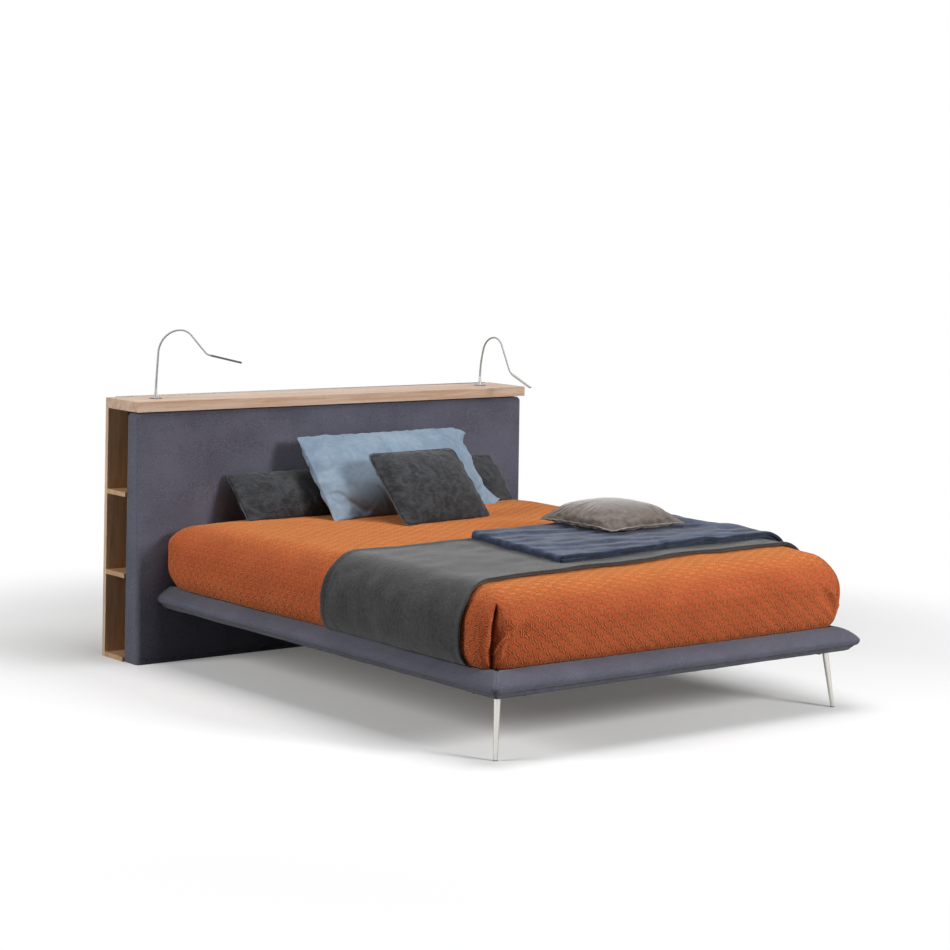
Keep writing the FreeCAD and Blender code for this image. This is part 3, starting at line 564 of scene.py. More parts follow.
def addRail(name, node, side):
    # The section is carried along the rail; its ends run out to the mitre, where a seam draws it in
    section, inner = smoothSection(rail["section"], 46), rail["inner"]
    if side == 0:
        section, inner = np.vstack([rail["lip"], section]), inner + rail["underHem"]
        steps = spaced(0.0, (0.03, 0.003), (0.97, 0.006), (1.0, 0.003))[:, None]
    else:
        steps = spaced(0.0, (0.03, 0.0025), (1.0, 0.006))[:, None]
    out, z = np.vstack([section, inner, section[:1]]).T
    if side == 0:
        start, end = -rail["innerX"] - out, rail["innerX"] + out
        along = start + (end - start) * steps
        toMitre = np.minimum(along - start, end - along)
        place, outward = points(along, rail["innerY"] - out, z), (0.0, -1.0)
    else:
        start = rail["innerY"] - out
        along = start + (rail["head"] - start) * steps
        toMitre = along - start
        place, outward = points(side * (rail["innerX"] + out), along, z), (side, 0.0)
    level, up = out - rail["middle"][0], z - rail["middle"][1]
    direction = points(level * outward[0], level * outward[1], up) / np.hypot(level, up)[:, None]
    draw = 0.0012 * bell(toMitre - 0.016, 0.012) - 0.0022 * smooth(out, 0.028, 0.050) * bell(toMitre, 0.004)
    fromSeam = z - rail["seamHeight"]
    puckers = 0.0007 * np.sin(along / 0.011) * bell(fromSeam, 0.008)
    seam = (puckers - rail["seamDepth"] * bell(fromSeam, rail["seamHalf"])) * (out > 0.03)
    ripple = waves(place, 0.07, 11) * 0.0005 + waves(place, 0.3, 12) * 0.0009
    bulge = (draw + seam + ripple) * smooth(out, 0.0, 0.01)
    place = roundCorners(place + direction * bulge[..., None], out)
    piece = addPiece(name, [place] + endCaps(place, place.mean(1)), finishes["rail"])
    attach(piece, "bed_frame")
    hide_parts(node)


addRail("rail_cover_left", "rail_pad_left", -1)
addRail("rail_cover_right", "rail_pad_right", 1)
addRail("rail_cover_foot", "rail_pad_foot", 0)
print("rails covered")


# Form of the made bed, which the bedspread follows and the throw and blanket lie on
bed = {
    "half": 0.860, "foot": -2.150, "head": -0.1265, "top": 0.560, "bottom": 0.2965,
    "footRound": 0.110, "headRound": 0.075,
    "edgeRound": {"left": 0.135, "right": 0.105, "head": 0.040, "footRight": 0.048},
    "headSink": 0.022, "shoulderSink": 0.036, "headReach": 0.085, "headTuck": 0.030, "rightRise": 0.010,
    "waist": 0.012, "waistAt": -1.2, "waistReach": 0.4,
    "waves": ((0.34, 0.0030, 21), (0.12, 0.0010, 22)),   # length, height and seed
    # where across and along the bed its edge's radius and its top's rise change over, and from where on
    # the top's own form, its shoulders and the tuck at the head take effect
    "edgeAcross": (0.2, 0.6), "footRightAcross": (0.45, 0.70), "footRightAlong": (-2.05, -1.75),
    "riseAcross": (-0.2, 0.45), "upperFrom": 0.36, "shoulderFrom": 0.50, "tuckHeights": (0.295, 0.38),
    # how far the sides and the foot stand in at each height
    "sideHeights": (0.290, 0.300, 0.312, 0.325, 0.340, 0.360, 0.400, 0.600),
    "sideOut": (-0.042, -0.034, -0.024, -0.015, -0.008, -0.003, 0.0, 0.0),
    "footHeights": (0.290, 0.300, 0.312, 0.324, 0.345, 0.362, 0.407, 0.457, 0.600),
    "footOut": (-0.044, -0.036, -0.027, -0.020, -0.014, -0.011, -0.005, 0.0, 0.0),
}
# The slit at each foot corner, measured round the corner from its own middle line, towards the foot
slit = {
    "turn": 41.5, "lean": 10.5, "bottom": 0.292, "top": 0.520,
    # how far open at each height, as a share, and what part of that the right corner opens
    "heights": (0.290, 0.310, 0.335, 0.375, 0.430, 0.480, 0.508, 0.520),
    "opened": (0.22, 0.30, 0.75, 1.0, 0.90, 0.55, 0.20, 0.0), "rightShare": 0.55,
    # the groove's section: the side rolls in, a steep wall, the bottom, and a slope up to the foot
    "at": (-0.060, -0.042, -0.028, -0.0185, -0.0125, -0.0090, -0.0065, 0.000, 0.006, 0.014, 0.026, 0.046),
    "out": (0.0, 0.0018, 0.0010, -0.0035, -0.0110, -0.0220, -0.044, -0.044, -0.031, -0.018, -0.008, 0.0),
}
# A slanting crease from the slit's lower end across the foot. Each hollow beside it has its depth, its side,
# and where it opens and closes away from the crease and across the bed
crease = {
    "bottom": 0.346, "climb": 0.79, "end": 0.130, "ridge": 0.0090, "ridgeHalf": 0.0065,
    "hollows": ((0.0110, 1, (0.002, 0.016, 0.025, 0.085), (0.005, 0.02, 0.05, 0.10)),
                (0.0110, -1, (0.006, 0.022, 0.045, 0.075), (0.05, 0.085, 0.13, 0.19))),
}


def plainRound(x, y, half, foot, head, footRadius, headRadius):
    # Plan places pulled from the sharp rectangle onto its rounded corners. Also gives the distance in
    # from the outline, its direction, and the turn round a foot corner in degrees from the side
    side, sideGap, footGap, headGap = np.sign(x), half - np.abs(x), y - foot, head - y
    inset = np.minimum(np.minimum(sideGap, footGap), headGap)
    onSide = (sideGap <= footGap) & (sideGap <= headGap)
    normalX = np.where(onSide, side, 0.0)
    normalY = np.where(onSide, 0.0, np.where(footGap <= headGap, -1.0, 1.0))
    turn = np.full(x.shape, -1.0)
    for gap, sense, radius, edge in ((footGap, -1.0, footRadius, foot), (headGap, 1.0, headRadius, head)):
        dx, dy = radius - sideGap, radius - gap
        corner, share, reach = (dx > 0) & (dy > 0), arcShare(dx, dy), np.maximum(np.hypot(dx, dy), 1e-9)
        inset = np.where(corner, radius - np.maximum(dx, dy), inset)
        normalX = np.where(corner, side * dx / reach, normalX)
        normalY = np.where(corner, sense * dy / reach, normalY)
        if sense < 0:
            turn = np.where(corner, np.degrees(np.arctan2(dy, dx)), turn)
        x = np.where(corner, side * (half - radius + dx * share), x)
        y = np.where(corner, edge + sense * (dy * share - radius), y)
    return x, y, inset, normalX, normalY, turn


def bedForm(p, lift=0.0, parted=False, slack=0.0):
    # p lies on a sharp box. Its plan corners and top edges are rounded, the sides follow their measured
    # outline, and lift raises the whole surface along its normal
    foot, head = bed["foot"] - lift, bed["head"]
    top, bottom = bed["top"] + lift, bed["bottom"]
    half = bed["half"] + lift - bed["waist"] * bell(p[..., 1] - bed["waistAt"], bed["waistReach"])
    x = p[..., 0] * half / bed["half"]
    y = head + (p[..., 1] - head) * (head - foot) / (head - bed["foot"])
    z = bottom + (p[..., 2] - bottom) * (top - bottom) / (bed["top"] - bottom)
    x, y, inset, normalX, normalY, turn = plainRound(x, y, half, foot, head, bed["footRound"] + lift,
                                                     bed["headRound"] + lift)
    nearHead = np.exp(-np.maximum(head - y, 0) / bed["headReach"])
    radii = bed["edgeRound"]
    r = radii["left"] + (radii["right"] - radii["left"]) * smooth(x, *bed["edgeAcross"])
    footRight = smooth(x, *bed["footRightAcross"]) * (1 - smooth(y, *bed["footRightAlong"]))
    r = r + radii["footRight"] * footRight
    r = r + (radii["head"] - r) * nearHead + lift
    outPart, upPart = r - inset, z - (top - r)
    edge, share = (outPart > 0) & (upPart > 0), arcShare(outPart, upPart)
    newInset = np.where(edge, r - outPart * share, inset)
    z = np.where(edge, top - r + upPart * share, z)
    upper = np.clip((z - bed["upperFrom"]) / (top - bed["upperFrom"]), 0, 1)
    sink = bed["headSink"] + bed["shoulderSink"] * smooth(np.abs(x), bed["shoulderFrom"], half)
    z = z + upper * (bed["rightRise"] * smooth(x, *bed["riseAcross"]) - nearHead * sink)
    sideOut = np.interp(z, bed["sideHeights"], bed["sideOut"])
    footOut = np.interp(z, bed["footHeights"], bed["footOut"])
    tuck = bed["headTuck"] * nearHead ** 1.6 * (1 - smooth(z, *bed["tuckHeights"])) * (normalY >= 0)
    out = sideOut * normalX ** 2 + footOut * np.minimum(normalY, 0) ** 2 + inset - newInset - tuck
    swing = sum(waves(p, length, seed) * height for length, height, seed in bed["waves"])
    faces = 1 - smooth(newInset, 0.0, 0.10)
    if parted:
        out = out + partedCorner(p, z, turn, normalY, slack)
    out = out + swing * faces
    return points(x + normalX * out, y + normalY * out, z + swing * upper * (1 - faces))


def plateau(value, start, full, fading, end):
    return smooth(value, start, full) * (1 - smooth(value, fading, end))


def partedCorner(p, z, turn, normalY, slack):
    # At each foot corner the cloth of the side rolls in over the cloth of the foot, and leaves an upright
    # leaf-shaped slit with a slanting crease beside it; slack widens the slit
    run = np.clip((z - slit["bottom"]) / (slit["top"] - slit["bottom"]), 0, 1)
    away = np.radians(turn - slit["turn"] - slit["lean"] * run ** 2) * bed["footRound"]
    away = np.sign(away) * np.maximum(np.abs(away) - slack, 0)
    opened = np.interp(z, slit["heights"], slit["opened"]) * (turn >= 0)
    opened = opened * np.where(p[..., 0] > 0, slit["rightShare"], 1.0)
    out = np.interp(away / (0.35 + 0.65 * opened), slit["at"], slit["out"]) * smooth(opened, 0.0, 0.5)
    across = bed["half"] - np.abs(p[..., 0])
    above = z - (crease["bottom"] + across * crease["climb"])   # height above the crease's line
    fold = crease["ridge"] * bell(above + 0.003, crease["ridgeHalf"])
    fold = fold * smooth(across, 0.0, 0.012) * (1 - smooth(across, 0.09, crease["end"]))
    for depth, side, tall, wide in crease["hollows"]:
        fold = fold - depth * plateau(side * above, *tall) * plateau(across, *wide)
    return out + fold * (normalY < -0.5)


def addBedspread():
    half, corner = bed["half"], bed["footRound"] + 0.03
    xs = spaced(-half, (-half + corner, 0.0030), (half - corner, 0.0105), (half, 0.0030))
    ys = spaced(bed["foot"], (bed["foot"] + corner, 0.0030), (-1.86, 0.0105), (-1.24, 0.032),
                (-0.22, 0.0105), (bed["head"], 0.006))
    zs = spaced(bed["bottom"], (0.34, 0.006), (bed["top"], 0.0100))
    names, flats = ("top", "left", "right", "front", "rear"), []
    grids = boxSides(xs, ys, zs, names)
    for name, grid in zip(names, grids):
        x, y, z = np.moveaxis(grid, -1, 0)
        drop = bed["top"] - z
        if name in ("left", "right"):
            x = x + np.sign(x) * drop
        elif name != "top":
            y = y - drop if name == "front" else y + drop
        flats.append(points(x, y))
    places = [bedForm(grid, parted=True) for grid in grids]
    piece = addPiece("bedspread_cover", places, finishes["bedspread"], flats)
    wall = piece.modifiers.new("thickness", "SOLIDIFY")
    wall.thickness, wall.offset = 0.004, -1.0
    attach(piece, "bedding")
    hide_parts("bedspread")


# The block stands in behind the spread's hem and reaches below it, down to the slats
mattress = {"inset": 0.012, "slack": 0.008, "lowShare": 0.4, "stretch": 1.1545, "hemInset": 0.022}


def addMattress():
    low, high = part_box("mattress")
    xs = spaced(-bed["half"], (-0.72, 0.01), (0.72, 0.06), (bed["half"], 0.01))
    ys = spaced(bed["foot"], (-2.05, 0.01), (-0.20, 0.06), (bed["head"], 0.01))
    zs = spaced(bed["bottom"], (bed["top"], 0.012))
    grids = []
    for side in boxSides(xs, ys, zs, ("top", "bottom", "left", "right", "front", "rear")):
        place = bedForm(side, lift=-mattress["inset"], parted=True, slack=mattress["slack"])
        height = place[..., 2] - bed["bottom"]
        lowest = height < mattress["lowShare"] * (high.z - bed["bottom"])
        place[..., 2] = np.where(lowest, low.z + height * mattress["stretch"], place[..., 2])
        place[..., :2] *= 1 - mattress["hemInset"] * (1 - smooth(place[..., 2:], 0.29, 0.35))
        grids.append(place)
    piece = addPiece("mattress_body", grids, finishes["ticking"])
    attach(piece, "bedding")
    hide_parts("mattress")


addMattress()
addBedspread()
print("mattress and bedspread laid")


def layOver(across, along):
    # A place on the sharp box round the bed, from the distance across it, counted over its sides
    beyond = np.maximum(np.abs(across) - bed["half"], 0)
    return points(np.clip(across, -bed["half"], bed["half"]), along, bed["top"] - beyond)


def foldedEdge(thickness, lobes, count):
    # A closed loop seen from the side: along the underside, round the foot edge in so many rounded
    # folds, back along the top and round the head edge. Gives the share from head to foot, the
    # distance past the edge, and the height
    radius, run = thickness / lobes / 2, np.linspace(0, 1, count)
    turns = np.linspace(-math.pi / 2, math.pi / 2, 9)
    past, height = radius * np.cos(turns), radius * np.sin(turns)
    middles = [(2 * k + 1) * radius for k in range(lobes)]
    foot = [points(1.0, past, middle + height) for middle in middles]
    head = [points(0.0, -past, middle - height) for middle in reversed(middles)]
    loop = np.concatenate([points(run, 0.0, 0.0), *foot, points(run[::-1], 0.0, thickness), *head])
    loop = loop[np.append(np.abs(np.diff(loop, axis=0)).sum(1) > 1e-9, True)]
    return np.concatenate([loop, loop[:1]]).T


def layCloth(name, sizes, finish):
    # The folded loop is carried across the bed, over the sides, and pinched round at both ends
    start, end, seed = sizes["acrossStart"], sizes["acrossEnd"], sizes["seed"]
    middle = pinch = sizes["thickness"] / 2
    across = spaced(start, (start + pinch, pinch / 6), (end - pinch, sizes["step"]), (end, pinch / 6))
    across = across[:, None]
    edges = [np.interp(across, sizes[edge + "At"], sizes[edge + "Edge"]) for edge in ("head", "foot")]
    headEdge, footEdge = (edge + waves(points(seed, across, 0.0), 0.22, seed + k) * sizes["waver"]
                          for k, edge in enumerate(edges))
    share, past, height = foldedEdge(sizes["thickness"], sizes["lobes"], sizes["rows"])
    ends = np.minimum(across - start, end - across)
    full = np.sqrt(np.clip(1 - (1 - np.clip(ends / pinch, 0, 1)) ** 2, 0, 1))
    along = headEdge + (footEdge - headEdge) * share - past * full
    # near the edges the cloth is thicker, by a turned hem
    fromEdge = np.minimum(along - footEdge, headEdge - along)
    hem = 1 + sizes["hemSwell"] * (1 - smooth(fromEdge, 0.008, 0.020))
    lift = sizes["rest"] + middle + (height * hem - middle) * full
    # the left end may run aslant from the head edge to the foot edge
    slanted = across + sizes["slant"] * share * (1 - smooth(across, start, start + 0.5))
    base, upper = layOver(slanted, along), height / sizes["thickness"]
    crumple = sizes["crumple"] * waves(base * sizes["crumpleWay"], sizes["crumpleLength"], seed + 2)
    place = bedFormEach(base, lift + crumple * upper * full)
    return addPiece(name, [place], finish, [points(across, along + upper * 0.003)])


def bedFormEach(places, lifts):
    # bedForm at a lift of its own for each place, taken between five evenly spaced lifts
    low, high = float(lifts.min()), float(lifts.max())
    forms = np.stack([bedForm(places, level) for level in np.linspace(low, high, 5)])
    spot = np.clip((lifts - low) / max(high - low, 1e-9) * 4, 0, 3.999999)
    k = spot.astype(int)
    lower, upper = (np.take_along_axis(forms, k[None, ..., None] + step, 0)[0] for step in (0, 1))
    return lower + (upper - lower) * (spot - k)[..., None]


throwSizes = {
    "acrossStart": -1.122, "acrossEnd": 1.120, "thickness": 0.012, "rest": 0.0015, "step": 0.011,
    "headAt": (-1.122, -0.80, -0.60, -0.19, 1.12), "headEdge": (-1.190, -1.212, -1.202, -1.198, -1.205),
    "footAt": (-1.122, -0.88, -0.70, -0.50, -0.17, 0.34, 0.60, 0.80, 1.12),
    "footEdge": (-1.985, -1.985, -1.945, -1.915, -1.890, -1.882, -1.878, -1.898, -1.905),
    "lobes": 1, "rows": 84, "waver": 0.0025, "seed": 31, "hemSwell": 0.35,
    "crumple": 0.0020, "crumpleWay": (1, 1, 1), "crumpleLength": 0.11, "slant": 0.0,
}
blanketSizes = {
    "acrossStart": -0.190, "acrossEnd": 1.02, "thickness": 0.032, "rest": 0.0125, "step": 0.011,
    "headAt": (-0.19, 1.02), "headEdge": (-1.200, -1.205),
    "footAt": (-0.19, 0.2, 0.6, 1.02), "footEdge": (-1.796, -1.785, -1.765, -1.755),
    "lobes": 2, "rows": 66, "waver": 0.005, "seed": 41, "hemSwell": 0.0,
    "crumple": 0.0050, "crumpleWay": (0.7, 1.5, 1), "crumpleLength": 0.12, "slant": -0.085,
}


def addThrowAndBlanket():
    spread = layCloth("wool_throw", throwSizes, finishes["wool"])
    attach(spread, "bedding")
    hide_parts("throw")
    folded = layCloth("velvet_blanket", blanketSizes, finishes["navy"])
    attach(folded, "bedding")
    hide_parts("folded_blanket")


addThrowAndBlanket()
print("throw and blanket laid")


# Cushions: two panels of cloth, cut larger than their seam and gathered into it, are blown up by a
# cloth simulation with the seam held. halves scales what stands before and behind the seam, corner is the
# seam's corner radius, folds gives the height, reach and spacing of the small folds along the seam, droop
# lowers the corners, full is the share of firm filling that rounds the form out to the seam, and flap is
# the open end of a pillowcase past the seam
plainCushion = {
    "finish": "grey", "slot": "grey_velvet", "body": "bedding", "lean": 45.0, "turn": 0.0, "pressure": 5.0,
    "gather": 0.09, "piping": 0.0020, "flap": 0.0, "halves": (1.1, 0.9), "corner": 0.018,
    "folds": (0.0022, 0.030, 0.030), "droop": 0.0, "full": 0.45,
}
cushions = {
    "cushion_grey_left": {
        **plainCushion, "cut": (0.600, 0.236, 0.115), "seat": (-0.274, -0.223, 0.638), "seed": 51,
    },
    "cushion_grey_right": {
        **plainCushion, "cut": (0.600, 0.244, 0.115), "seat": (0.470, -0.216, 0.647), "seed": 52,
        "lean": 44.0,
    },
    "pillow_blue": {
        **plainCushion, "cut": (0.850, 0.400, 0.155), "seat": (0.164, -0.312, 0.711), "seed": 53,
        "lean": 39.0, "turn": 3.5, "finish": "cotton", "slot": "blue_cotton", "body": "pillow",
        "pressure": 3.5, "gather": 0.06, "piping": 0.0, "flap": 0.052, "corner": 0.014,
        "folds": (0.0032, 0.045, 0.050), "full": 0.35,
    },
    "cushion_grey_front": {
        **plainCushion, "cut": (0.452, 0.350, 0.130), "seat": (0.093, -0.590, 0.688), "seed": 54,
        "lean": 43.0, "turn": 3.5, "body": "front_cushion", "gather": 0.07, "piping": 0.0022,
        "corner": 0.028, "folds": (0.0024, 0.030, 0.034),
    },
    "cushion_brown": {
        **plainCushion, "cut": (0.394, 0.402, 0.122), "seat": (0.364, -1.368, 0.634), "seed": 55,
        "lean": 90.0, "turn": 3.0, "finish": "brown", "slot": "brown_velvet", "body": "top_cushion",
        "gather": 0.10, "piping": 0.0030, "halves": (1.24, 0.52), "corner": 0.026,
        "folds": (0.0044, 0.060, 0.028), "droop": 0.010, "full": 0.85,
    },
}
sewing = {
    "spacing": 0.0072, "start": 0.55, "frames": 30, "dent": 0.010, "jitter": 0.003, "roundness": 2.5,
    "cloth": {"quality": 5, "mass": 0.25, "tension_stiffness": 20, "compression_stiffness": 20,
              "shear_stiffness": 6, "bending_stiffness": 0.15, "vertex_group_mass": "seam",
              "use_pressure": True},
}


def seamOutline(u, v, width, height, r):
    # Flat places inside the seam's outline: sides a little drawn in at their middles, corners rounded
    x = u * width / 2 * (1 - sewing["dent"] * (1 - v ** 2))
    z = v * height / 2 * (1 - sewing["dent"] * (1 - u ** 2))
    overX, overZ = np.maximum(np.abs(x) - (width / 2 - r), 0), np.maximum(np.abs(z) - (height / 2 - r), 0)
    corner, share = (overX > 0) & (overZ > 0), arcShare(overX, overZ)
    x = np.where(corner, np.sign(x) * (width / 2 - r + overX * share), x)
    z = np.where(corner, np.sign(z) * (height / 2 - r + overZ * share), z)
    return x, z


def readPlaces(mesh):
    places = np.empty(len(mesh.vertices) * 3, np.float32)
    mesh.vertices.foreach_get("co", places)
    return places.reshape(-1, 3).astype(float)


def blowUp(piece, seam, pressure, gather):
    held = piece.vertex_groups.new(name="seam")
    held.add(seam.tolist(), 1.0, "REPLACE")
    cloth = piece.modifiers.new("cloth", "CLOTH")
    settings = {**sewing["cloth"], "shrink_min": -gather, "uniform_pressure_force": pressure}
    for key, value in settings.items():
        setattr(cloth.settings, key, value)
    cloth.settings.effector_weights.gravity = 0
    cloth.point_cache.frame_start, cloth.point_cache.frame_end = 1, sewing["frames"]
    for number in range(1, sewing["frames"] + 1):
        bpy.context.scene.frame_set(number)
    places = readPlaces(piece.evaluated_get(bpy.context.evaluated_depsgraph_get()).data)
    piece.modifiers.remove(cloth)
    piece.vertex_groups.remove(held)
    bpy.context.scene.frame_set(1)
    return places


def tubeGrid(line, first, second, radius, sides):
    # Rings of places round a line; first and second are the directions across it
    turns = np.linspace(0, 2 * math.pi, sides + 1)[:, None]
    ring = np.cos(turns) * first[..., None, :] + np.sin(turns) * second[..., None, :]
    return line[:, None] + ring * np.reshape(radius, (-1, 1, 1))


def seamTube(line, radius):
    # A round cord along a closed line that lies round the origin in the X-Z plane
    along = np.roll(line, -1, 0) - np.roll(line, 1, 0)
    along /= np.linalg.norm(along, axis=1)[:, None]
    side = line * (1, 0, 1)
    side = side - (side * along).sum(1)[:, None] * along
    side /= np.linalg.norm(side, axis=1)[:, None]
    tube = tubeGrid(line + side * radius * 0.5, side, np.cross(along, side), radius, 8)
    return np.concatenate([tube, tube[:1]])


def seamFolds(flat, sizes):
    # Small folds that run in from the seam towards the middle, and the droop of the corners
    width, height, _ = sizes["cut"]
    tall, reach, length = sizes["folds"]
    u, v = flat[:, 0] / (width / 2), flat[:, 2] / (height / 2)
    longest = np.maximum(np.maximum(np.abs(u), np.abs(v)), 1e-6)
    onSeam = points(u / longest * width / 2, v / longest * height / 2, 0.0)
    inset = (1 - longest) * np.where(np.abs(u) > np.abs(v), width, height) / 2
    strength = np.exp(-inset / reach) * (0.25 + 0.75 * smooth(inset, 0.0, 0.018))
    return tall * waves(onSeam, length, sizes["seed"] + 7) * strength + sizes["droop"] * (u * v) ** 4


def addCushion(name, sizes):
    width, height, thickness = sizes["cut"]
    columns, rows = (math.ceil(size / sewing["spacing"]) for size in (width, height))
    u, v = np.meshgrid(np.linspace(-1, 1, columns + 1), np.linspace(-1, 1, rows + 1), indexing="ij")
    x, z = seamOutline(u, v, width, height, sizes["corner"])
    swell = np.sqrt((1 - u ** 2) * (1 - v ** 2))
    y = thickness / 2 * sewing["start"] * swell
    jitter = waves(points(x, z, 0.0), 0.06, sizes["seed"]) * sewing["jitter"] * swell
    piece = addPiece(name + "_cover", [points(x, jitter - y, z), points(x, jitter + y, z)],
                     finishes[sizes["finish"]])
    mesh = piece.data
    flat = readPlaces(mesh)
    seam = np.flatnonzero(flat[:, 1] == 0)           # only the seam has no depth at all
    seam = seam[np.argsort(np.arctan2(flat[seam, 2] / height, flat[seam, 0] / width))]
    places = blowUp(piece, seam, sizes["pressure"], sizes["gather"])
    deep = np.ptp(places[:, 1])
    print(name, "blown up to", round(deep * 1000), "mm before fitting to", round(thickness * 1000))
    places[:, 1] *= thickness / deep
    gaps = 1 - np.abs(flat[:, (0, 2)] / (width / 2, height / 2)) ** sewing["roundness"]
    stuffed = gaps.prod(1).clip(0) ** 0.6 * thickness / 2
    places[:, 1] += sizes["full"] * (np.sign(flat[:, 1]) * stuffed - places[:, 1])
    places[:, 1] *= np.where(places[:, 1] < 0, *sizes["halves"])
    places[:, 1] += seamFolds(flat, sizes)
    mesh.vertices.foreach_set("co", places.astype(np.float32).ravel())
    mesh.update()
    pieces = [soften(piece)]
    if sizes["piping"] > 0:
        pieces.append(addPiece(name + "_piping", [seamTube(places[seam], sizes["piping"])],
                               finishes[sizes["finish"] + "Cord"]))
    if sizes["flap"] > 0:
        pieces.append(addFlap(name, sizes))
    seat = Matrix.Translation(Vector(sizes["seat"]) + Vector((-sizes["flap"] / 2, 0, 0)))
    seat = seat @ Matrix.Rotation(math.radians(sizes["turn"]), 4, "Z")
    seat = seat @ Matrix.Rotation(math.radians(-sizes["lean"]), 4, "X")
    for part in pieces:
        part.data.transform(seat)
        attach(part, sizes["body"])
        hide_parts(name)


def addFlap(name, sizes):
    # Two hemmed layers of the pillowcase's open end, wavy and slightly apart
    width, height, _ = sizes["cut"]
    v, w = np.linspace(-1, 1, 90)[:, None], np.linspace(0, 1, 12)
    middle = w * (1 - v ** 2)
    x = width / 2 * (1 - sewing["dent"] * (1 - v ** 2)) - 0.004 - 0.034 * middle
    x = x + w * sizes["flap"] * (1 + 0.10 * np.sin(v * 5 + 1))
    z = v * (height / 2 - 0.010 - 0.004 * w - 0.022 * w ** 2 * np.abs(v) ** 9)
    wave = waves(points(z, 0.0, 0.0), 0.11, sizes["seed"]) * 0.013 * w + 0.030 * middle * w
    apart = 0.0008 + 0.004 * w * (1 - v ** 4)
    layers = np.stack([points(x, wave - apart, z), points(x, wave + apart, z)])
    grids = [*layers, layers[:, :, 0], layers[:, :, -1], layers[:, 0], layers[:, -1]]
    return soften(addPiece(name + "_flap", grids, finishes[sizes["finish"]]))


for cushionName, cushionSizes in cushions.items():
    addCushion(cushionName, cushionSizes)


# Reading lamps: a ribbed sheath, bent to shape, from the sleeve to the head
lampArm = {
    "radius": 0.0034, "swell": 0.35, "rib": 0.0026, "ribDepth": 0.00015, "sides": 16, "step": 0.00065,
    "leanRadius": 0.4, "spread": 0.815, "board": 1.020, "sleeve": 0.040, "socket": 0.034,
    "blendReach": 0.016,
}
lampForms = {
    "left": {"side": -1, "turn": 38.0, "straight": 0.178, "lean": 0.0, "riseRadius": 0.093, "headDrop": 10.5,
             "fallRadius": 0.065, "fall": 46.0, "run": 0.088, "flickRadius": 0.034, "sway": 0.009},
    "right": {"side": 1, "turn": 0.0, "straight": 0.036, "lean": 18.0, "riseRadius": 0.076, "headDrop": 21.0,
              "fallRadius": 0.056, "fall": 62.0, "run": 0.112, "flickRadius": 0.040, "sway": 0.0},
}


def lampLine(lamp):
    # The arm's headings, counted from upright, over its length; the line follows by adding up small steps
    lean, steepest, level = lamp["lean"], 90.0 + lamp["fall"], 90.0 + lamp["headDrop"]

    def arc(start, end, radius):
        return math.radians(abs(end - start)) * radius, start, end

    # each stretch: its length and the heading at its start and end
    stretches = [(lamp["straight"] + lampArm["socket"] - lampArm["sleeve"], 0.0, 0.0),
                 arc(0.0, lean, lampArm["leanRadius"]), arc(lean, 90.0, lamp["riseRadius"]),
                 arc(90.0, steepest, lamp["fallRadius"]), (lamp["run"], steepest, steepest),
                 arc(steepest, level, lamp["flickRadius"])]
    ends = np.cumsum([0.0] + [length for length, _, _ in stretches])
    crown = ends[3]
    distance = np.linspace(0, ends[-1], math.ceil(ends[-1] / lampArm["step"]))
    marks = np.repeat(ends, 2)[1:-1] + np.tile((0, -1e-9), len(stretches))
    turns = np.array([turn for _, a, b in stretches for turn in (a, b)])
    heading = np.radians(np.interp(distance, marks, turns))
    middle = (heading[1:] + heading[:-1]) / 2
    steps = np.diff(distance)
    ahead = np.concatenate([[0.0], np.cumsum(np.sin(middle) * steps)])
    rise = np.concatenate([[0.0], np.cumsum(np.cos(middle) * steps)]) + lampArm["sleeve"] - lampArm["socket"]
    ahead += lamp["sway"] * np.sin(math.pi * distance / distance[-1]) ** 2
    return distance, ahead, rise, heading, crown


def addLampArm(which, lamp):
    distance, ahead, rise, heading, crown = lampLine(lamp)
    turn = math.radians(lamp["turn"])
    forward = np.array([math.sin(turn), -math.cos(turn), 0.0])
    sideways = np.array([math.cos(turn), math.sin(turn), 0.0])
    base = np.array([lamp["side"] * lampArm["spread"], 0.0, lampArm["board"]])
    up = np.array([0.0, 0.0, 1.0])
    centre = base + ahead[:, None] * forward + rise[:, None] * up
    over = np.cos(heading)[:, None] * forward - np.sin(heading)[:, None] * up
    # the arm is stouter towards its sleeve
    stout = 1 + lampArm["swell"] * np.clip(1 - distance / crown, 0, 1)
    radius = lampArm["radius"] * stout + lampArm["ribDepth"] * np.sin(distance * 2 * math.pi / lampArm["rib"])
    tube = tubeGrid(centre, over, sideways, radius, lampArm["sides"])
    piece = addPiece("lamp_" + which + "_sheath", [tube] + endCaps(tube, centre), finishes["sheath"])
    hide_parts("lamp_" + which + "_arm_lower", "lamp_" + which + "_arm_upper")
    low, high = ([np.interp(crown + shift, distance, axis) for axis in centre.T]
                 for shift in (-lampArm["blendReach"], lampArm["blendReach"]))
    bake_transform(piece)


for lampSide, lampForm in lampForms.items():
    addLampArm(lampSide, lampForm)
print("lamp arms bent")


# Floor, backdrop and light. What only the camera and reflections see is paler than what lights the bed
stage = {
    "floorGlow": 0.10, "floorSeen": 0.96, "floorColour": 0.22, "nearFloor": 1.9, "farFloor": 3.3,
    "middle": (0.0, -1.1, 0.0), "reach": 40.0, "ambient": 0.03,
    "lights": {
        "key": {"place": (2.4, -7.5, 3.3), "aim": (0.0, -1.0, 0.5), "size": 2.2, "power": 400},
        "over": {"place": (0.3, -1.6, 5.2), "aim": (0.0, -1.1, 0.3), "size": 3.6, "power": 165},
        "left": {"place": (-6.0, 0.4, 3.0), "aim": (0.0, -1.0, 0.4), "size": 2.6, "power": 230},
    },
}


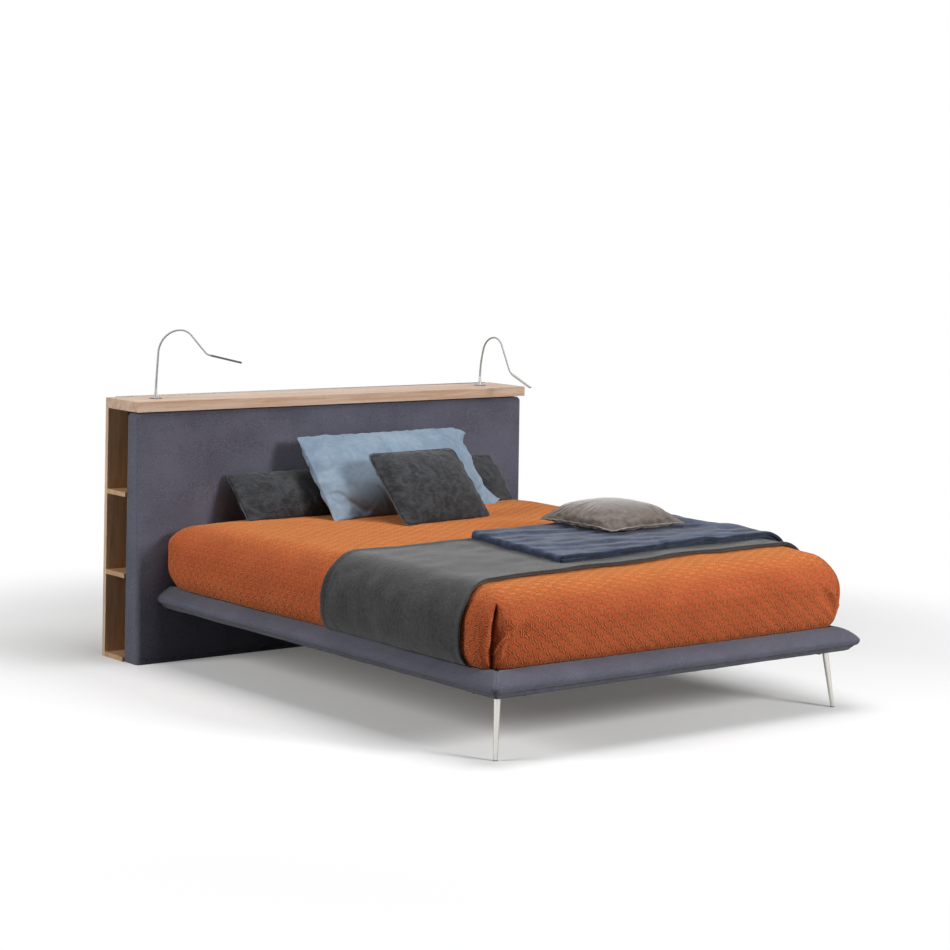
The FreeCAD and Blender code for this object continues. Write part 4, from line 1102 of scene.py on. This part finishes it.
def directRays(made):
    # 1 where the camera looks straight at the surface, or sees it in metal or through glass
    seen = [made.node("ShaderNodeLightPath", {}, {}, output=name)
            for name in ("Is Camera Ray", "Is Glossy Ray", "Is Transmission Ray")]
    return seen[0].math("MAXIMUM", seen[1]).math("MAXIMUM", seen[2])


def addFloor():
    made = Finish("floor", Roughness=0.9, Specular_IOR_Level=0.0)
    seen = directRays(made)
    made.feed("Base Color", seen * (stage["floorSeen"] - stage["floorColour"]) + stage["floorColour"])
    glow = made.node("ShaderNodeEmission", {}, {"Color": (1, 1, 1, 1), "Strength": 1.0})
    away = made.node("ShaderNodeVectorMath", {"operation": "DISTANCE"},
                     {0: made.place(), 1: stage["middle"]}, output=1)
    share = seen * made.between(away, stage["nearFloor"], stage["farFloor"], stage["floorGlow"], 1.0)
    surface = Output(made, made.surface.outputs[0])
    mixed = made.node("ShaderNodeMixShader", {}, {0: share, 1: surface, 2: glow})
    made.tree.links.new(mixed.socket, made.tree.nodes["Material Output"].inputs["Surface"])
    ends = np.array((-stage["reach"], stage["reach"]))
    addPiece("floor", [points(ends[:, None], ends, 0.0)], made.material)


def addSky():
    world = bpy.data.worlds.new("backdrop")
    bpy.context.scene.world = world
    world.use_nodes = True
    sky = Builder(world.node_tree)
    strength = directRays(sky) * (1 - stage["ambient"]) + stage["ambient"]
    background = world.node_tree.nodes["Background"]
    background.inputs["Color"].default_value = (1, 1, 1, 1)
    world.node_tree.links.new(strength.socket, background.inputs["Strength"])


def addLights():
    for name, lamp in stage["lights"].items():
        data = bpy.data.lights.new(name, "AREA")
        data.shape, data.size, data.energy = "DISK", lamp["size"], lamp["power"]
        light = bpy.data.objects.new(name, data)
        towards = Vector(lamp["aim"]) - Vector(lamp["place"])
        turn = towards.to_track_quat("-Z", "Y").to_matrix().to_4x4()
        light.matrix_world = Matrix.Translation(lamp["place"]) @ turn
        bpy.context.scene.collection.objects.link(light)


addFloor()
addSky()
addLights()
bpy.context.scene.view_settings.view_transform = "Standard"
print("stage lit")
